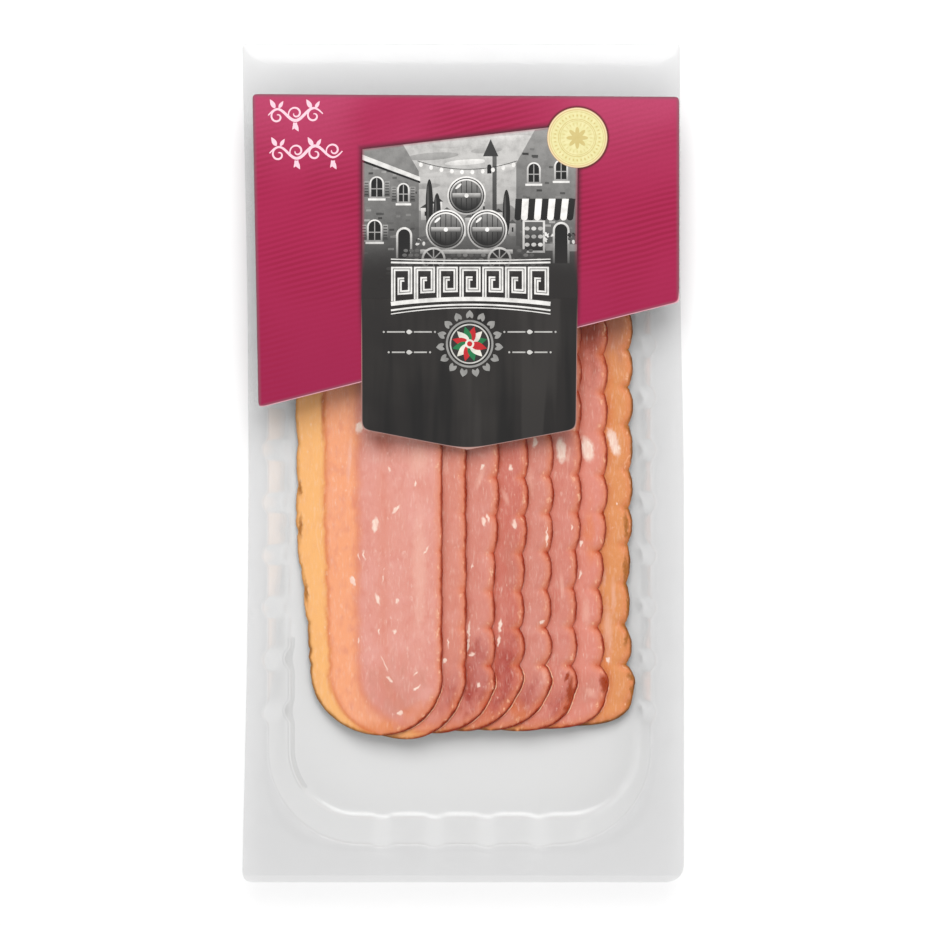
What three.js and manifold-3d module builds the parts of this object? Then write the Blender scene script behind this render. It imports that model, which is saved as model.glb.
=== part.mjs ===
// A flat retail pack of beef carpaccio, lying face up: a clear thermoformed tray with
// fluted walls, a clear lid film sealed to its flange, eight thin slices of cured beef
// shingled inside, and a two-layer label with a round gold seal on the film.
// Millimetres, +Z up, +Y towards the head of the label. The origin is at the middle of
// the footprint, on the underside of the tray's floor.
import * as THREE from 'three';
import { mergeVertices } from 'three/addons/utils/BufferGeometryUtils.js';
import Module from 'manifold-3d';

// ---------------------------------------------------------------- driving dimensions

// Flange outline. The long left edge is drawn in a little at mid-length, the right
// edge runs out slightly towards the foot.
const HEAD_Y = 119.7;            // head edge of the flange
const FOOT_Y = -119.7;           // foot edge of the flange
const LEFT_X = -63.1;            // left edge at its two ends
const LEFT_WAIST = 1.8;          // how far the left edge is drawn in at mid-length
const RIGHT_HEAD_X = 62.0;       // right edge beside the label
const RIGHT_FOOT_X = 63.1;       // right edge below the label
const CORNER_RADII = { headRight: 1.6, headLeft: 1.6, footLeft: 3.4, footRight: 6.0 };

// Tray section.
const FLANGE_TOP = 14.0;         // height of the sealing face
const FLANGE_THICK = 0.6;
const WALL = 0.5;                // sheet thickness of walls and floor
const FLOOR_TOP = 0.5;

// Mouth of the recess at the sealing face, and the floor that its walls run down to.
const MOUTH = { left: -55.8, right: 53.5, foot: -109.0, head: 100.2, radius: 27 };
const FLOOR = { left: -49.0, right: 49.5, foot: -101.0, head: 92.4, radius: 19 };
// Fraction of the way from mouth to floor, and height, down the inside of the wall.
const WALL_PROFILE = [[0, 14.0], [0.06, 13.1], [0.87, 1.4], [1, FLOOR_TOP]];

// Upright flutes pressed outwards into the walls.
const FLUTE_PITCH = 15;
const FLUTE_WIDTH = 6.2;
const SIDE_FLUTES = { count: 10, middle: -3.8, depth: 1.6 };
const END_FLUTES = { count: 4, middle: -0.6, depth: 0.9 };
const FLUTE_SECTION = [[-0.5, 0], [-0.3, 0.8], [0, 1], [0.3, 0.8], [0.5, 0]];
const CORNER_STEPS = 8;

// Lid film, trimmed short of the tray at the foot so that it can be peeled.
const FILM_THICK = 0.2;
const FILM_INSET = 0.15;
const FILM_FOOT_INSET = 2.0;

// Label: a slanted crimson field, a black shield that hangs over its lower edge, and
// a round gold seal at the shield's upper right corner.
const PAPER = 0.15;              // thickness of each printed layer
const LABEL_CORNERS = [[-60.1, 105.3], [-58.4, 15.7], [61.7, 45.9], [61.7, 104.5]];
const LABEL_RADIUS = 1.4;
const SHIELD_CORNERS = [[-29.1, 89.9], [-28.9, 9.6], [1.2, 3.8], [32.3, 9.6], [33.2, 97.2]];
const SHIELD_RADIUS = 2.2;
const SEAL_CENTRE = [32.6, 92.8];
const SEAL_RADIUS = 8.65;
const LAYER_GAP = 0.3;           // play between the side edges of stacked layers

// Slices, from the uppermost at the left to the lowest at the right.
const SLICES = 8;
const SLICE_RIGHT = [-5.9, 1.0, 9.0, 17.3, 25.0, 32.4, 39.8, 47.6];
const SLICE_WIDTH = [42.0, 40.6, 39.4, 40.2, 40.4, 40.6, 40.9, 40.6];
const SLICE_FOOT = [-78.2, -79.3, -77.6, -77.0, -76.8, -77.0, -76.4, -75.6];
const SLICE_HEAD = [90.0, 90.8, 89.4, 89.0, 88.4, 89.2, 88.2, 87.6];
const SLICE_SCALLOP = [0.25, 0.45, 1.1, 1.35, 1.5, 1.4, 1.6, 1.7];
const SCALLOP_PITCH = 10.9;      // bumps left by the netting along the cut edge
const SCALLOP_AT = -3.4;         // one of the nicks, which line up from slice to slice
const SCALLOP_ENDS = [7, 15];    // the netting left no bumps on the rounded ends
const SLICE_THICK = 0.9;
const RIM_THICK = 0.45;          // the dried rim is thinner than the middle
const SLICE_PLAY = 0.2;          // clearance between slices that lie on each other
const LEAN = 0.168;              // rise of a leaning slice for each mm to the right
const LEVEL_FROM = 15.0;         // to the right of this the slices lie level
const LEVEL_BLEND = 4.0;
const RIPPLE = 0.22;
const CROWN = { rise: 2.4, x: 2, y: 12, reachX: 38, reachY: 55 };   // the pile is fullest here
// The corners of a slice: the length over which the edge curves in, and two exponents
// that make the curve fuller. The upper slices also slant in at the lower left, and the
// lowest splay out at the foot. Above the middle the pile has slid to the right.
const LEFT_CORNER = [19, 2, 2];
const RIGHT_CORNER = [[17, 2, 2], [20, 2, 2], [16, 2, 2], [19, 2, 2],
  [15, 2, 2], [18, 3.0, 2.6], [11, 3.2, 2.6], [9, 3.0, 2.6]];
const SLICE_SLANT = [3.8, 1.2, 0, 0, 0, 0, 0, 0];
const SLANT_FROM = 62;
const SLANT_TO = 20;
const SLICE_SLIDE = [0, 0, 1.2, 1.2, 0.7, 1.4, 1.4, 0.8];
const SLIDE_FROM = -36;
const SLIDE_TO = -10;
const SLICE_SPLAY = [0, 0, 0, 0, 0, 0, 1.5, 1.4];
const SPLAY_AT = -64;
const SPLAY_REACH = 8;
const SLICE_COLUMNS = [0, 0.05, 0.35, 0.66, 0.95, 1];
const END_ROWS = [0, 0.35, 1.1, 2.4, 4.6];

// ---------------------------------------------------------------- small helpers

const lerp = THREE.MathUtils.lerp;
const smooth = THREE.MathUtils.smoothstep;

// Stitches a list of closed rings of equal length, and a centre point at each end,
// into one closed skin. The rings run anticlockwise seen from above, upper side first.
function skinOfRings(rings, firstCentre, lastCentre) {
  const count = rings[0].length;
  const positions = [...firstCentre, ...rings.flat(2), ...lastCentre];
  const index = [];
  const at = (ring, i) => 1 + ring * count + (i % count);
  const last = 1 + rings.length * count;
  for (let i = 0; i < count; i++) {
    index.push(0, at(0, i), at(0, i + 1));
    for (let r = 0; r + 1 < rings.length; r++) {
      index.push(at(r, i), at(r + 1, i), at(r + 1, i + 1));
      index.push(at(r, i), at(r + 1, i + 1), at(r, i + 1));
    }
    index.push(last, at(rings.length - 1, i + 1), at(rings.length - 1, i));
  }
  const geometry = new THREE.BufferGeometry();
  geometry.setAttribute('position', new THREE.Float32BufferAttribute(positions, 3));
  geometry.setIndex(index);
  return geometry;
}

// A flat plate between two heights from an outline given anticlockwise.
function plate(outline, bottom, top) {
  const centre = [0, 1].map((axis) => outline.reduce((sum, p) => sum + p[axis], 0) / outline.length);
  const upper = outline.map(([x, y]) => [x, y, top]);
  const lower = outline.map(([x, y]) => [x, y, bottom]);
  return skinOfRings([upper, lower], [...centre, top], [...centre, bottom]);
}

// The corners of a polygon rounded by short arcs, as an outline.
function roundedOutline(corners, radius, steps = 4) {
  const points = [];
  corners.forEach((corner, i) => {
    const here = new THREE.Vector2(...corner);
    const before = new THREE.Vector2(...corners[(i + corners.length - 1) % corners.length]);
    const after = new THREE.Vector2(...corners[(i + 1) % corners.length]);
    const back = before.sub(here).normalize();
    const on = after.sub(here).normalize();
    const half = Math.acos(THREE.MathUtils.clamp(back.dot(on), -1, 1)) / 2;
    const reach = radius / Math.tan(half);
    const bend = new THREE.QuadraticBezierCurve(
      here.clone().addScaledVector(back, reach), here, here.clone().addScaledVector(on, reach));
    for (const p of bend.getPoints(steps)) points.push([p.x, p.y]);
  });
  return points;
}

function mesh(name, geometry, colour, roughness, opacity = 1) {
  const material = new THREE.MeshStandardMaterial({
    color: colour, roughness, metalness: 0, transparent: opacity < 1, opacity });
  const piece = new THREE.Mesh(geometry, material);
  piece.name = name;
  return piece;
}

// ---------------------------------------------------------------- flange outline

const leftEdge = (y) => LEFT_X + LEFT_WAIST * Math.max(0, 1 - (y / 112) ** 2);
const rightEdge = (y) => lerp(RIGHT_FOOT_X, RIGHT_HEAD_X, smooth(y, -12, 62));

// Points round one corner of the flange, from the end of one straight run of the
// mouth to the start of the next, with the flange's own corner radius in the middle.
function flangeCorner(from, corner, to, radius) {
  const toCorner = Math.hypot(corner[0] - from[0], corner[1] - from[1]);
  const fromCorner = Math.hypot(to[0] - corner[0], to[1] - corner[1]);
  const start = corner.map((c, a) => lerp(c, from[a], radius / toCorner));
  const end = corner.map((c, a) => lerp(c, to[a], radius / fromCorner));
  const half = CORNER_STEPS / 2;
  const points = [];
  for (let i = 1; i < CORNER_STEPS; i++) {
    if (i <= half - 2) points.push(from.map((c, a) => lerp(c, start[a], i / (half - 2))));
    else if (i >= half + 2) {
      points.push(end.map((c, a) => lerp(c, to[a], (i - half - 2) / (half - 2))));
    } else {
      const t = (i - half + 2) / 4;
      points.push(corner.map((c, a) => (1 - t) ** 2 * start[a] + 2 * t * (1 - t) * c + t * t * end[a]));
    }
  }
  return points;
}

// ---------------------------------------------------------------- tray

// Stations along one straight wall, as [distance along it, flute depth].
function fluteStations(flutes) {
  const stations = [];
  for (let i = 0; i < flutes.count; i++) {
    const middle = flutes.middle + (i - (flutes.count - 1) / 2) * FLUTE_PITCH;
    for (const [across, out] of FLUTE_SECTION) {
      stations.push([middle + across * FLUTE_WIDTH, out * flutes.depth]);
    }
  }
  return stations;
}

// Every station round the recess: its place at the mouth and at the floor, the way
// out of the recess there, the flute's depth, and its place on the flange's edge.
function recessStations() {
  const stations = [];
  const side = (frame, direction, along) => (
    direction[0] ? [direction[0] > 0 ? frame.right : frame.left, along]
      : [along, direction[1] > 0 ? frame.head : frame.foot]);
  const edge = (direction, along) => (
    direction[0] ? [direction[0] > 0 ? rightEdge(along) : leftEdge(along), along]
      : [along, direction[1] > 0 ? HEAD_Y : FOOT_Y]);
  const corner = (frame, sx, sy, angle) => [
    (sx > 0 ? frame.right : frame.left) + frame.radius * (Math.cos(angle) - sx),
    (sy > 0 ? frame.head : frame.foot) + frame.radius * (Math.sin(angle) - sy)];
  const walls = [
    { direction: [1, 0], flutes: SIDE_FLUTES, sense: 1, next: [1, 1], radius: CORNER_RADII.headRight },
    { direction: [0, 1], flutes: END_FLUTES, sense: -1, next: [-1, 1], radius: CORNER_RADII.headLeft },
    { direction: [-1, 0], flutes: SIDE_FLUTES, sense: -1, next: [-1, -1], radius: CORNER_RADII.footLeft },
    { direction: [0, -1], flutes: END_FLUTES, sense: 1, next: [1, -1], radius: CORNER_RADII.footRight },
  ];
  walls.forEach(({ direction, flutes, sense, next, radius }, w) => {
    const run = fluteStations(flutes);
    if (sense < 0) run.reverse();
    for (const [along, depth] of run) {
      stations.push({ mouth: side(MOUTH, direction, along), floor: side(FLOOR, direction, along),
        out: direction, depth, edge: edge(direction, along) });
    }
    const following = walls[(w + 1) % 4];
    const nextRun = fluteStations(following.flutes);
    const nextStart = following.sense < 0 ? nextRun[nextRun.length - 1][0] : nextRun[0][0];
    const from = edge(direction, run[run.length - 1][0]);
    const to = edge(following.direction, nextStart);
    const tip = [next[0] > 0 ? rightEdge(next[1] * 118) : leftEdge(next[1] * 118),
      next[1] > 0 ? HEAD_Y : FOOT_Y];
    const rim = flangeCorner(from, tip, to, radius);
    for (let i = 1; i < CORNER_STEPS; i++) {
      const angle = (w + i / CORNER_STEPS) * (Math.PI / 2);
      stations.push({ mouth: corner(MOUTH, ...next, angle), floor: corner(FLOOR, ...next, angle),
        out: [Math.cos(angle), Math.sin(angle)], depth: 0, edge: rim[i - 1] });
    }
  });
  return stations;
}

function trayGeometry() {
  const stations = recessStations();
  const wallRing = (fraction, z, outset) => stations.map(({ mouth, floor, out, depth }) => [
    lerp(mouth[0], floor[0], fraction) + out[0] * (depth + outset),
    lerp(mouth[1], floor[1], fraction) + out[1] * (depth + outset), z]);
  const flangeRing = (z) => stations.map(({ edge }) => [...edge, z]);
  const inside = WALL_PROFILE.map(([fraction, z]) => wallRing(fraction, z, 0)).reverse();
  const outside = WALL_PROFILE.map(([fraction, z], i) => (
    wallRing(fraction, i ? z - WALL : z - FLANGE_THICK, WALL)));
  const rings = [...inside, flangeRing(FLANGE_TOP), flangeRing(FLANGE_TOP - FLANGE_THICK), ...outside];
  return skinOfRings(rings, [0, -4, FLOOR_TOP], [0, -4, FLOOR_TOP - WALL]);
}

// ---------------------------------------------------------------- lid film and label

function filmGeometry() {
  const inset = ([x, y]) => [
    x > 0 ? Math.min(x, rightEdge(y) - FILM_INSET) : Math.max(x, leftEdge(y) + FILM_INSET),
    THREE.MathUtils.clamp(y, FOOT_Y + FILM_FOOT_INSET, HEAD_Y - FILM_INSET)];
  const corners = [[RIGHT_HEAD_X, HEAD_Y], [LEFT_X, HEAD_Y], [LEFT_X, FOOT_Y], [RIGHT_FOOT_X, FOOT_Y]]
    .map(inset);
  const runs = 12;
  const outline = [];
  for (const [x, y] of roundedOutline(corners, CORNER_RADII.headRight)) {
    const previous = outline[outline.length - 1];
    if (previous && Math.abs(y - previous[1]) > 50) {
      for (let i = 1; i < runs; i++) {
        const along = lerp(previous[1], y, i / runs);
        outline.push(inset([previous[0] > 0 ? 70 : -70, along]));
      }
    }
    outline.push([x, y]);
  }
  const first = outline[0];
  const last = outline[outline.length - 1];
  for (let i = 1; i < runs; i++) outline.push(inset([70, lerp(last[1], first[1], i / runs)]));
  return plate(outline, FLANGE_TOP, FLANGE_TOP + FILM_THICK);
}

const filmTop = FLANGE_TOP + FILM_THICK;
const labelTop = filmTop + PAPER;
const shieldTop = labelTop + PAPER;
const sealTop = shieldTop + PAPER;

// ---------------------------------------------------------------- slices of beef

// How far the outline has closed in at a distance from the slice's end: 1 where the
// full width is reached, 0 at the very end.
const endClosing = (distance, taper, sharpness, squareness) => (
  distance >= taper ? 1 : (1 - (1 - distance / taper) ** sharpness) ** (1 / squareness));

// Rounded bumps with narrow nicks between them, between 0 and 1.
const scallop = (y) => Math.sqrt(Math.abs(Math.sin(Math.PI * (y - SCALLOP_AT) / SCALLOP_PITCH)));

// Left and right edge of a slice at a distance along it.
function sliceEdges(k, y) {
  const right = SLICE_RIGHT[k];
  const width = SLICE_WIDTH[k];
  const fromEnd = Math.min(y - SLICE_FOOT[k], SLICE_HEAD[k] - y);
  const crown = right - 0.42 * width;
  const leftClosing = endClosing(fromEnd, ...LEFT_CORNER);
  const rightClosing = endClosing(fromEnd, ...RIGHT_CORNER[k]);
  const slant = SLICE_SLANT[k] * (1 - smooth(fromEnd, SLANT_TO, SLANT_FROM));
  const slide = SLICE_SLIDE[k] * smooth(y, SLIDE_FROM, SLIDE_TO);
  const splay = SLICE_SPLAY[k] * Math.exp(-(((y - SPLAY_AT) / SPLAY_REACH) ** 2));
  const bumps = SLICE_SCALLOP[k] * (scallop(y) - 0.7) * smooth(fromEnd, ...SCALLOP_ENDS);
  const crinkle = 0.3 * Math.sin(y / 3.1 + k) * Math.sin(y / 7.3 + 2 * k);
  return [
    crown - (0.58 * width - slant - crinkle) * leftClosing,
    crown + (0.42 * width + bumps + splay + slide) * rightClosing];
}

// Height of the underside of a slice: it leans on the slices under it, and lies level
// over the part where the whole pile is under it.
function restingHeight(k, x, y) {
  const lean = (at) => LEVEL_FROM - LEVEL_BLEND * Math.log1p(Math.exp((LEVEL_FROM - at) / LEVEL_BLEND));
  const foot = SLICE_RIGHT[k] - SLICE_WIDTH[k];
  const rise = LEAN * (lean(Math.max(x, foot - 1)) - lean(foot));
  const ripple = RIPPLE * (1 + Math.sin(x / 9 + 1) * Math.sin(y / 11));
  const fromCrown = Math.hypot((x - CROWN.x) / CROWN.reachX, (y - CROWN.y) / CROWN.reachY);
  const crown = CROWN.rise * Math.exp(-(fromCrown ** 2));
  return FLOOR_TOP + 0.25 + Math.max(rise, -0.1) + ripple + crown;
}

function sliceRows(k) {
  const foot = SLICE_FOOT[k];
  const head = SLICE_HEAD[k];
  const rows = [...END_ROWS.map((d) => foot + d), ...END_ROWS.map((d) => head - d)];
  const step = SCALLOP_PITCH / 3;
  const first = Math.ceil((foot + 6.5 - SCALLOP_AT) / step);
  for (let i = first; SCALLOP_AT + i * step < head - 6.5; i++) rows.push(SCALLOP_AT + i * step);
  return rows.sort((a, b) => a - b);
}

function sliceGeometry(k) {
  const rows = sliceRows(k);
  const columns = SLICE_COLUMNS.length;
  const positions = [];
  const end = rows.length - 1;
  rows.forEach((y, r) => {
    const inside = THREE.MathUtils.clamp(y, SLICE_FOOT[k] + 0.12, SLICE_HEAD[k] - 0.12);
    const [left, right] = sliceEdges(k, inside);
    SLICE_COLUMNS.forEach((fraction, c) => {
      const x = lerp(left, right, fraction);
      const rim = r === 0 || r === end || c === 0 || c === columns - 1;
      const under = restingHeight(k, x, y);
      positions.push(x, y, under + (rim ? RIM_THICK : SLICE_THICK), x, y, under);
    });
  });
  const top = (r, c) => 2 * (r * columns + c);
  const low = (r, c) => top(r, c) + 1;
  const index = [];
  const quad = (a, b, c, d) => index.push(a, b, c, a, c, d);
  for (let r = 0; r < end; r++) {
    for (let c = 0; c + 1 < columns; c++) {
      quad(top(r, c), top(r, c + 1), top(r + 1, c + 1), top(r + 1, c));
      quad(low(r, c), low(r + 1, c), low(r + 1, c + 1), low(r, c + 1));
    }
    quad(low(r, 0), top(r, 0), top(r + 1, 0), low(r + 1, 0));
    quad(top(r, columns - 1), low(r, columns - 1), low(r + 1, columns - 1), top(r + 1, columns - 1));
  }
  for (let c = 0; c + 1 < columns; c++) {
    quad(low(0, c), low(0, c + 1), top(0, c + 1), top(0, c));
    quad(low(end, c + 1), low(end, c), top(end, c), top(end, c + 1));
  }
  const geometry = new THREE.BufferGeometry();
  geometry.setAttribute('position', new THREE.Float32BufferAttribute(positions, 3));
  geometry.setIndex(index);
  return geometry;
}

// ---------------------------------------------------------------- cutting

const wasm = await Module();
wasm.setup();

function solid(geometry) {
  const bare = geometry.clone();
  bare.deleteAttribute('normal');
  bare.deleteAttribute('uv');
  const merged = mergeVertices(bare, 1e-4);
  return new wasm.Manifold(new wasm.Mesh({
    numProp: 3,
    vertProperties: merged.attributes.position.array,
    triVerts: new Uint32Array(merged.index.array),
  }));
}

function geometryOf(body) {
  const { vertProperties, triVerts } = body.getMesh();
  const geometry = new THREE.BufferGeometry();
  geometry.setAttribute('position', new THREE.BufferAttribute(Float32Array.from(vertProperties), 3));
  geometry.setIndex(Array.from(triVerts));
  return geometry;
}

// An outline moved out by a distance, measured from its middle.
function grown(outline, distance) {
  const n = outline.length;
  const middle = [0, 1].map((axis) => outline.reduce((sum, p) => sum + p[axis], 0) / n);
  return outline.map((p) => {
    const away = [p[0] - middle[0], p[1] - middle[1]];
    const scale = 1 + 1.5 * distance / Math.hypot(...away);
    return [middle[0] + away[0] * scale, middle[1] + away[1] * scale];
  });
}

// The shield lies on the label and reaches down to the film where it hangs below it.
function shieldGeometry(labelOutline, shieldOutline) {
  const block = solid(plate(shieldOutline, filmTop, shieldTop));
  return geometryOf(block.subtract(solid(plate(grown(labelOutline, LAYER_GAP), filmTop - 1, labelTop))));
}

// The seal lies half on the shield and half on the label.
function sealGeometry(shieldOutline) {
  const disc = new THREE.CylinderGeometry(SEAL_RADIUS, SEAL_RADIUS, sealTop - labelTop, 48);
  disc.rotateX(Math.PI / 2);
  disc.translate(...SEAL_CENTRE, (labelTop + sealTop) / 2);
  return geometryOf(solid(disc).subtract(
    solid(plate(grown(shieldOutline, LAYER_GAP), labelTop - 1, shieldTop))));
}

// ---------------------------------------------------------------- the pack

const pack = new THREE.Group();

pack.add(mesh('tray', trayGeometry(), 0xdedede, 0.15, 0.35));
pack.add(mesh('lid_film', filmGeometry(), 0xe4e4e4, 0.1, 0.2));

for (let k = 0; k < SLICES; k++) {
  pack.add(mesh(`slice_${k + 1}`, sliceGeometry(k), k ? 0xd98e78 : 0xe5a391, 0.45));
}

const labelOutline = roundedOutline(LABEL_CORNERS, LABEL_RADIUS);
const shieldOutline = roundedOutline(SHIELD_CORNERS, SHIELD_RADIUS);
pack.add(mesh('label', plate(labelOutline, filmTop, labelTop), 0xaa3255, 0.45));
pack.add(mesh('shield_panel', shieldGeometry(labelOutline, shieldOutline), 0x3d3a38, 0.45));
pack.add(mesh('gold_seal', sealGeometry(shieldOutline), 0xede3a5, 0.4));

export default pack;
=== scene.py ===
"""A shut retail pack of beef carpaccio lying on a pale table, label side up."""
import math

import bpy
import numpy as np
from mathutils.kdtree import KDTree
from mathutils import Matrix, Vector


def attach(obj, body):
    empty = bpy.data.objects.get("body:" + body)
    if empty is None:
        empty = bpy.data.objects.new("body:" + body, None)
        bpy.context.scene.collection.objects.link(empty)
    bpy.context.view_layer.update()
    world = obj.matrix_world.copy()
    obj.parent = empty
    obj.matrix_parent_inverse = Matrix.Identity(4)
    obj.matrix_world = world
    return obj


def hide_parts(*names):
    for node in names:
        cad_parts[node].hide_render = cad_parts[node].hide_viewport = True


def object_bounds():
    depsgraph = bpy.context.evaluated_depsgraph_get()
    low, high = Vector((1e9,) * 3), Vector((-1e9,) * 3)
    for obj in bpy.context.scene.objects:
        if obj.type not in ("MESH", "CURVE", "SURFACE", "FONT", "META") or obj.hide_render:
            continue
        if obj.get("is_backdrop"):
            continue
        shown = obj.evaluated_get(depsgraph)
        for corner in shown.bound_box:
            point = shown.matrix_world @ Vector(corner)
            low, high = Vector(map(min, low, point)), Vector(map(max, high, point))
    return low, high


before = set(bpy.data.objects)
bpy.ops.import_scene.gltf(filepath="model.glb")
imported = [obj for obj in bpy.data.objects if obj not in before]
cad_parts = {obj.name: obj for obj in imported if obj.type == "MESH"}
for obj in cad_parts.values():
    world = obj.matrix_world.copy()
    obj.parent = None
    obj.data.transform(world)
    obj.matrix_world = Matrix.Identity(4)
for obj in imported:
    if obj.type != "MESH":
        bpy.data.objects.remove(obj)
cad_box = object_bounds()

# ---------------------------------------------------------------- table, camera and light
# The pack lies on a plain pale table. A large soft lamp stands beyond its head end and
# the room fills in the rest, as in a simple product picture taken from straight above.

MM = 0.001
TABLE_HALF, TABLE_DROP = 1.5, 0.0001
TABLE_COLOUR = (0.985, 0.985, 0.985, 1)
EYE_HEIGHT, SENSOR_WIDTH, FAR_CLIP = 1.55, 36, 20
PICTURE_WIDTH, FLANGE_HEIGHT = 0.2643, 0.014      # how wide the view is at the flange
LAMP_PLACE, LAMP_WIDTH, LAMP_WATTS = (0.04, 0.74, 1.08), 0.86, 11.7
ROOM_LIGHT = 0.69


class Shade:
    """An output socket of one material, with the sums that its pattern needs."""

    def __init__(self, tree, socket=None):
        self.tree, self.socket = tree, socket

    def node(self, kind, settings=None, inputs=None, output=0):
        """Adds any other node: its settings first, then values or links by socket."""
        made = self.tree.nodes.new("ShaderNode" + kind)
        for key, value in (settings or {}).items():
            setattr(made, key, value)
        for key, value in (inputs or {}).items():
            if isinstance(value, Shade):
                self.tree.links.new(value.socket, made.inputs[key])
            else:
                made.inputs[key].default_value = value
        return Shade(self.tree, made.outputs[output] if made.outputs else None)

    def other(self, output):
        """Another output of the node that this one comes from."""
        return Shade(self.tree, self.socket.node.outputs[output])

    def sum(self, operation, *terms):
        """A Math node over values."""
        return self.node("Math", {"operation": operation}, dict(enumerate(terms)))

    def __add__(self, other):
        return self.sum("ADD", self, other)

    def __sub__(self, other):
        return self.sum("SUBTRACT", self, other)

    def __rsub__(self, other):
        return self.sum("SUBTRACT", other, self)

    def __mul__(self, other):
        return self.sum("MULTIPLY", self, other)

    def __truediv__(self, other):
        return self.sum("DIVIDE", self, other)

    def __pow__(self, other):
        return self.sum("POWER", self, other)

    __radd__, __rmul__ = __add__, __mul__

    def step(self, low, high, to_low=0.0, to_high=1.0):
        """Runs smoothly from to_low to to_high as this value goes from low to high."""
        return self.node("MapRange", {"interpolation_type": "SMOOTHSTEP"},
                         {0: self, 1: low, 2: high, 3: to_low, 4: to_high})

    def tint(self, first, second):
        """The first colour where this value is 0, the second where it is 1."""
        return self.node("Mix", {"data_type": "RGBA"}, {0: self, 6: first, 7: second}, 2)

    def vector(self, operation, inputs, output=0):
        """A Vector Math node."""
        return self.node("VectorMath", {"operation": operation}, inputs, output)

    def place(self):
        """The point on the object, in metres."""
        return self.node("TexCoord", {}, {}, "Object")

    def place_mm(self):
        """The point on the object, in millimetres."""
        return self.vector("SCALE", {0: self.place(), "Scale": 1 / MM})

    def noise(self, place, scale, detail, roughness=0.5, output=0):
        """Cloudy noise from 0 to 1, with scale waves for each unit of the place."""
        return self.node("TexNoise", {}, {"Vector": place, "Scale": scale, "Detail": detail,
                                          "Roughness": roughness}, output)

    def attribute(self, name, output="Fac"):
        """What was stored under a name for each point of the mesh."""
        return self.node("Attribute", {"attribute_name": name}, {}, output)

    def bump(self, height, distance):
        """A normal that stands for relief, its depth given in mm."""
        return self.node("Bump", {}, {"Height": height, "Distance": distance * MM,
                                      "Strength": 1.0})

    def surface(self, shader):
        """Makes a shader the material's surface."""
        self.node("OutputMaterial", {}, {"Surface": shader})

    def coat(self, colour, roughness, gloss=0.5, normal=None):
        """Ends a material that can't be seen through."""
        inputs = {"Base Color": colour, "Roughness": roughness, "Specular IOR Level": gloss}
        if normal:
            inputs["Normal"] = normal
        self.surface(self.node("BsdfPrincipled", {}, inputs))


def ink(red, green, blue):
    """A colour seen as 0 to 255 on a screen, as the light that it reflects."""
    return (*(((c / 255 + 0.055) / 1.055) ** 2.4 if c > 10 else c / 3294.6
              for c in (red, green, blue)), 1)


def new_material(name):
    """An empty material, and the Shade that its nodes start from."""
    material = bpy.data.materials.new(name)
    material.use_nodes = True
    material.node_tree.nodes.clear()
    return material, Shade(material.node_tree)


table_paint, start = new_material("table_paint")
start.coat(TABLE_COLOUR, 0.9, 0.0)
table_mesh = bpy.data.meshes.new("table")
table_mesh.from_pydata([(x * TABLE_HALF, y * TABLE_HALF, 0)
                        for x, y in ((-1, -1), (1, -1), (1, 1), (-1, 1))], [], [(0, 1, 2, 3)])
table_mesh.materials.append(table_paint)
table = bpy.data.objects.new("table", table_mesh)
table.location.z = -TABLE_DROP
bpy.context.collection.objects.link(table)
table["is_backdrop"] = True

camera_data = bpy.data.cameras.new("camera")
camera_data.sensor_width = SENSOR_WIDTH
camera_data.lens = SENSOR_WIDTH * (EYE_HEIGHT - FLANGE_HEIGHT) / PICTURE_WIDTH
camera_data.clip_end = FAR_CLIP
camera = bpy.data.objects.new("camera", camera_data)
camera.location = (0.0, 0.0, EYE_HEIGHT)
bpy.context.collection.objects.link(camera)
bpy.context.scene.camera = camera

lamp_data = bpy.data.lights.new("window", "AREA")
lamp_data.shape, lamp_data.size, lamp_data.energy = "SQUARE", LAMP_WIDTH, LAMP_WATTS
lamp = bpy.data.objects.new("window", lamp_data)
lamp.location = LAMP_PLACE
lamp.rotation_mode = "QUATERNION"
lamp.rotation_quaternion = lamp.location.normalized().to_track_quat("Z", "Y")
bpy.context.collection.objects.link(lamp)

world = bpy.data.worlds.new("room")
world.use_nodes = True
room_light = world.node_tree.nodes["Background"].inputs
room_light["Color"].default_value = (1, 1, 1, 1)
room_light["Strength"].default_value = ROOM_LIGHT
bpy.context.scene.world = world
bpy.context.scene.view_settings.view_transform = "Standard"

# ---------------------------------------------------------------- tray
# One sheet of clear plastic, drawn hot into a mould: a wide flange, sloping walls
# stiffened with upright flutes, and a flat floor with generous corners.

HEAD_Y, FOOT_Y, SIDE_X = 119.7, -119.7, 63.1
WAIST, WAIST_REACH = 1.8, 112      # how far the left edge is drawn in at mid-length
NARROWING, NARROW_FROM, NARROW_TO = 1.1, -12, 62      # of the right edge, towards the head
CORNER_Y = 118.0                   # where the sides are read for the flange's corners
FLANGE_TOP, FLANGE_THICK, SHEET, FLOOR_TOP = 14.0, 0.6, 0.5, 0.5
MOUTH = {"left": -55.8, "right": 53.5, "foot": -109.0, "head": 100.2, "radius": 27}
FLOOR = {"left": -49.0, "right": 49.5, "foot": -101.0, "head": 92.4, "radius": 19}
FLUTE_PITCH, FLUTE_WIDTH = 15.0, 6.2
SIDE_FLUTES = (10, -3.8, 1.6)      # how many, the middle of the row, how deep
END_FLUTES = (4, -0.6, 0.9)
ALONG_STEP, CORNER_STEPS, LEG_STEPS = 0.62, 36, 10
FLOOR_RINGS = (1.5, 2.1, 2.8)
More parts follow.
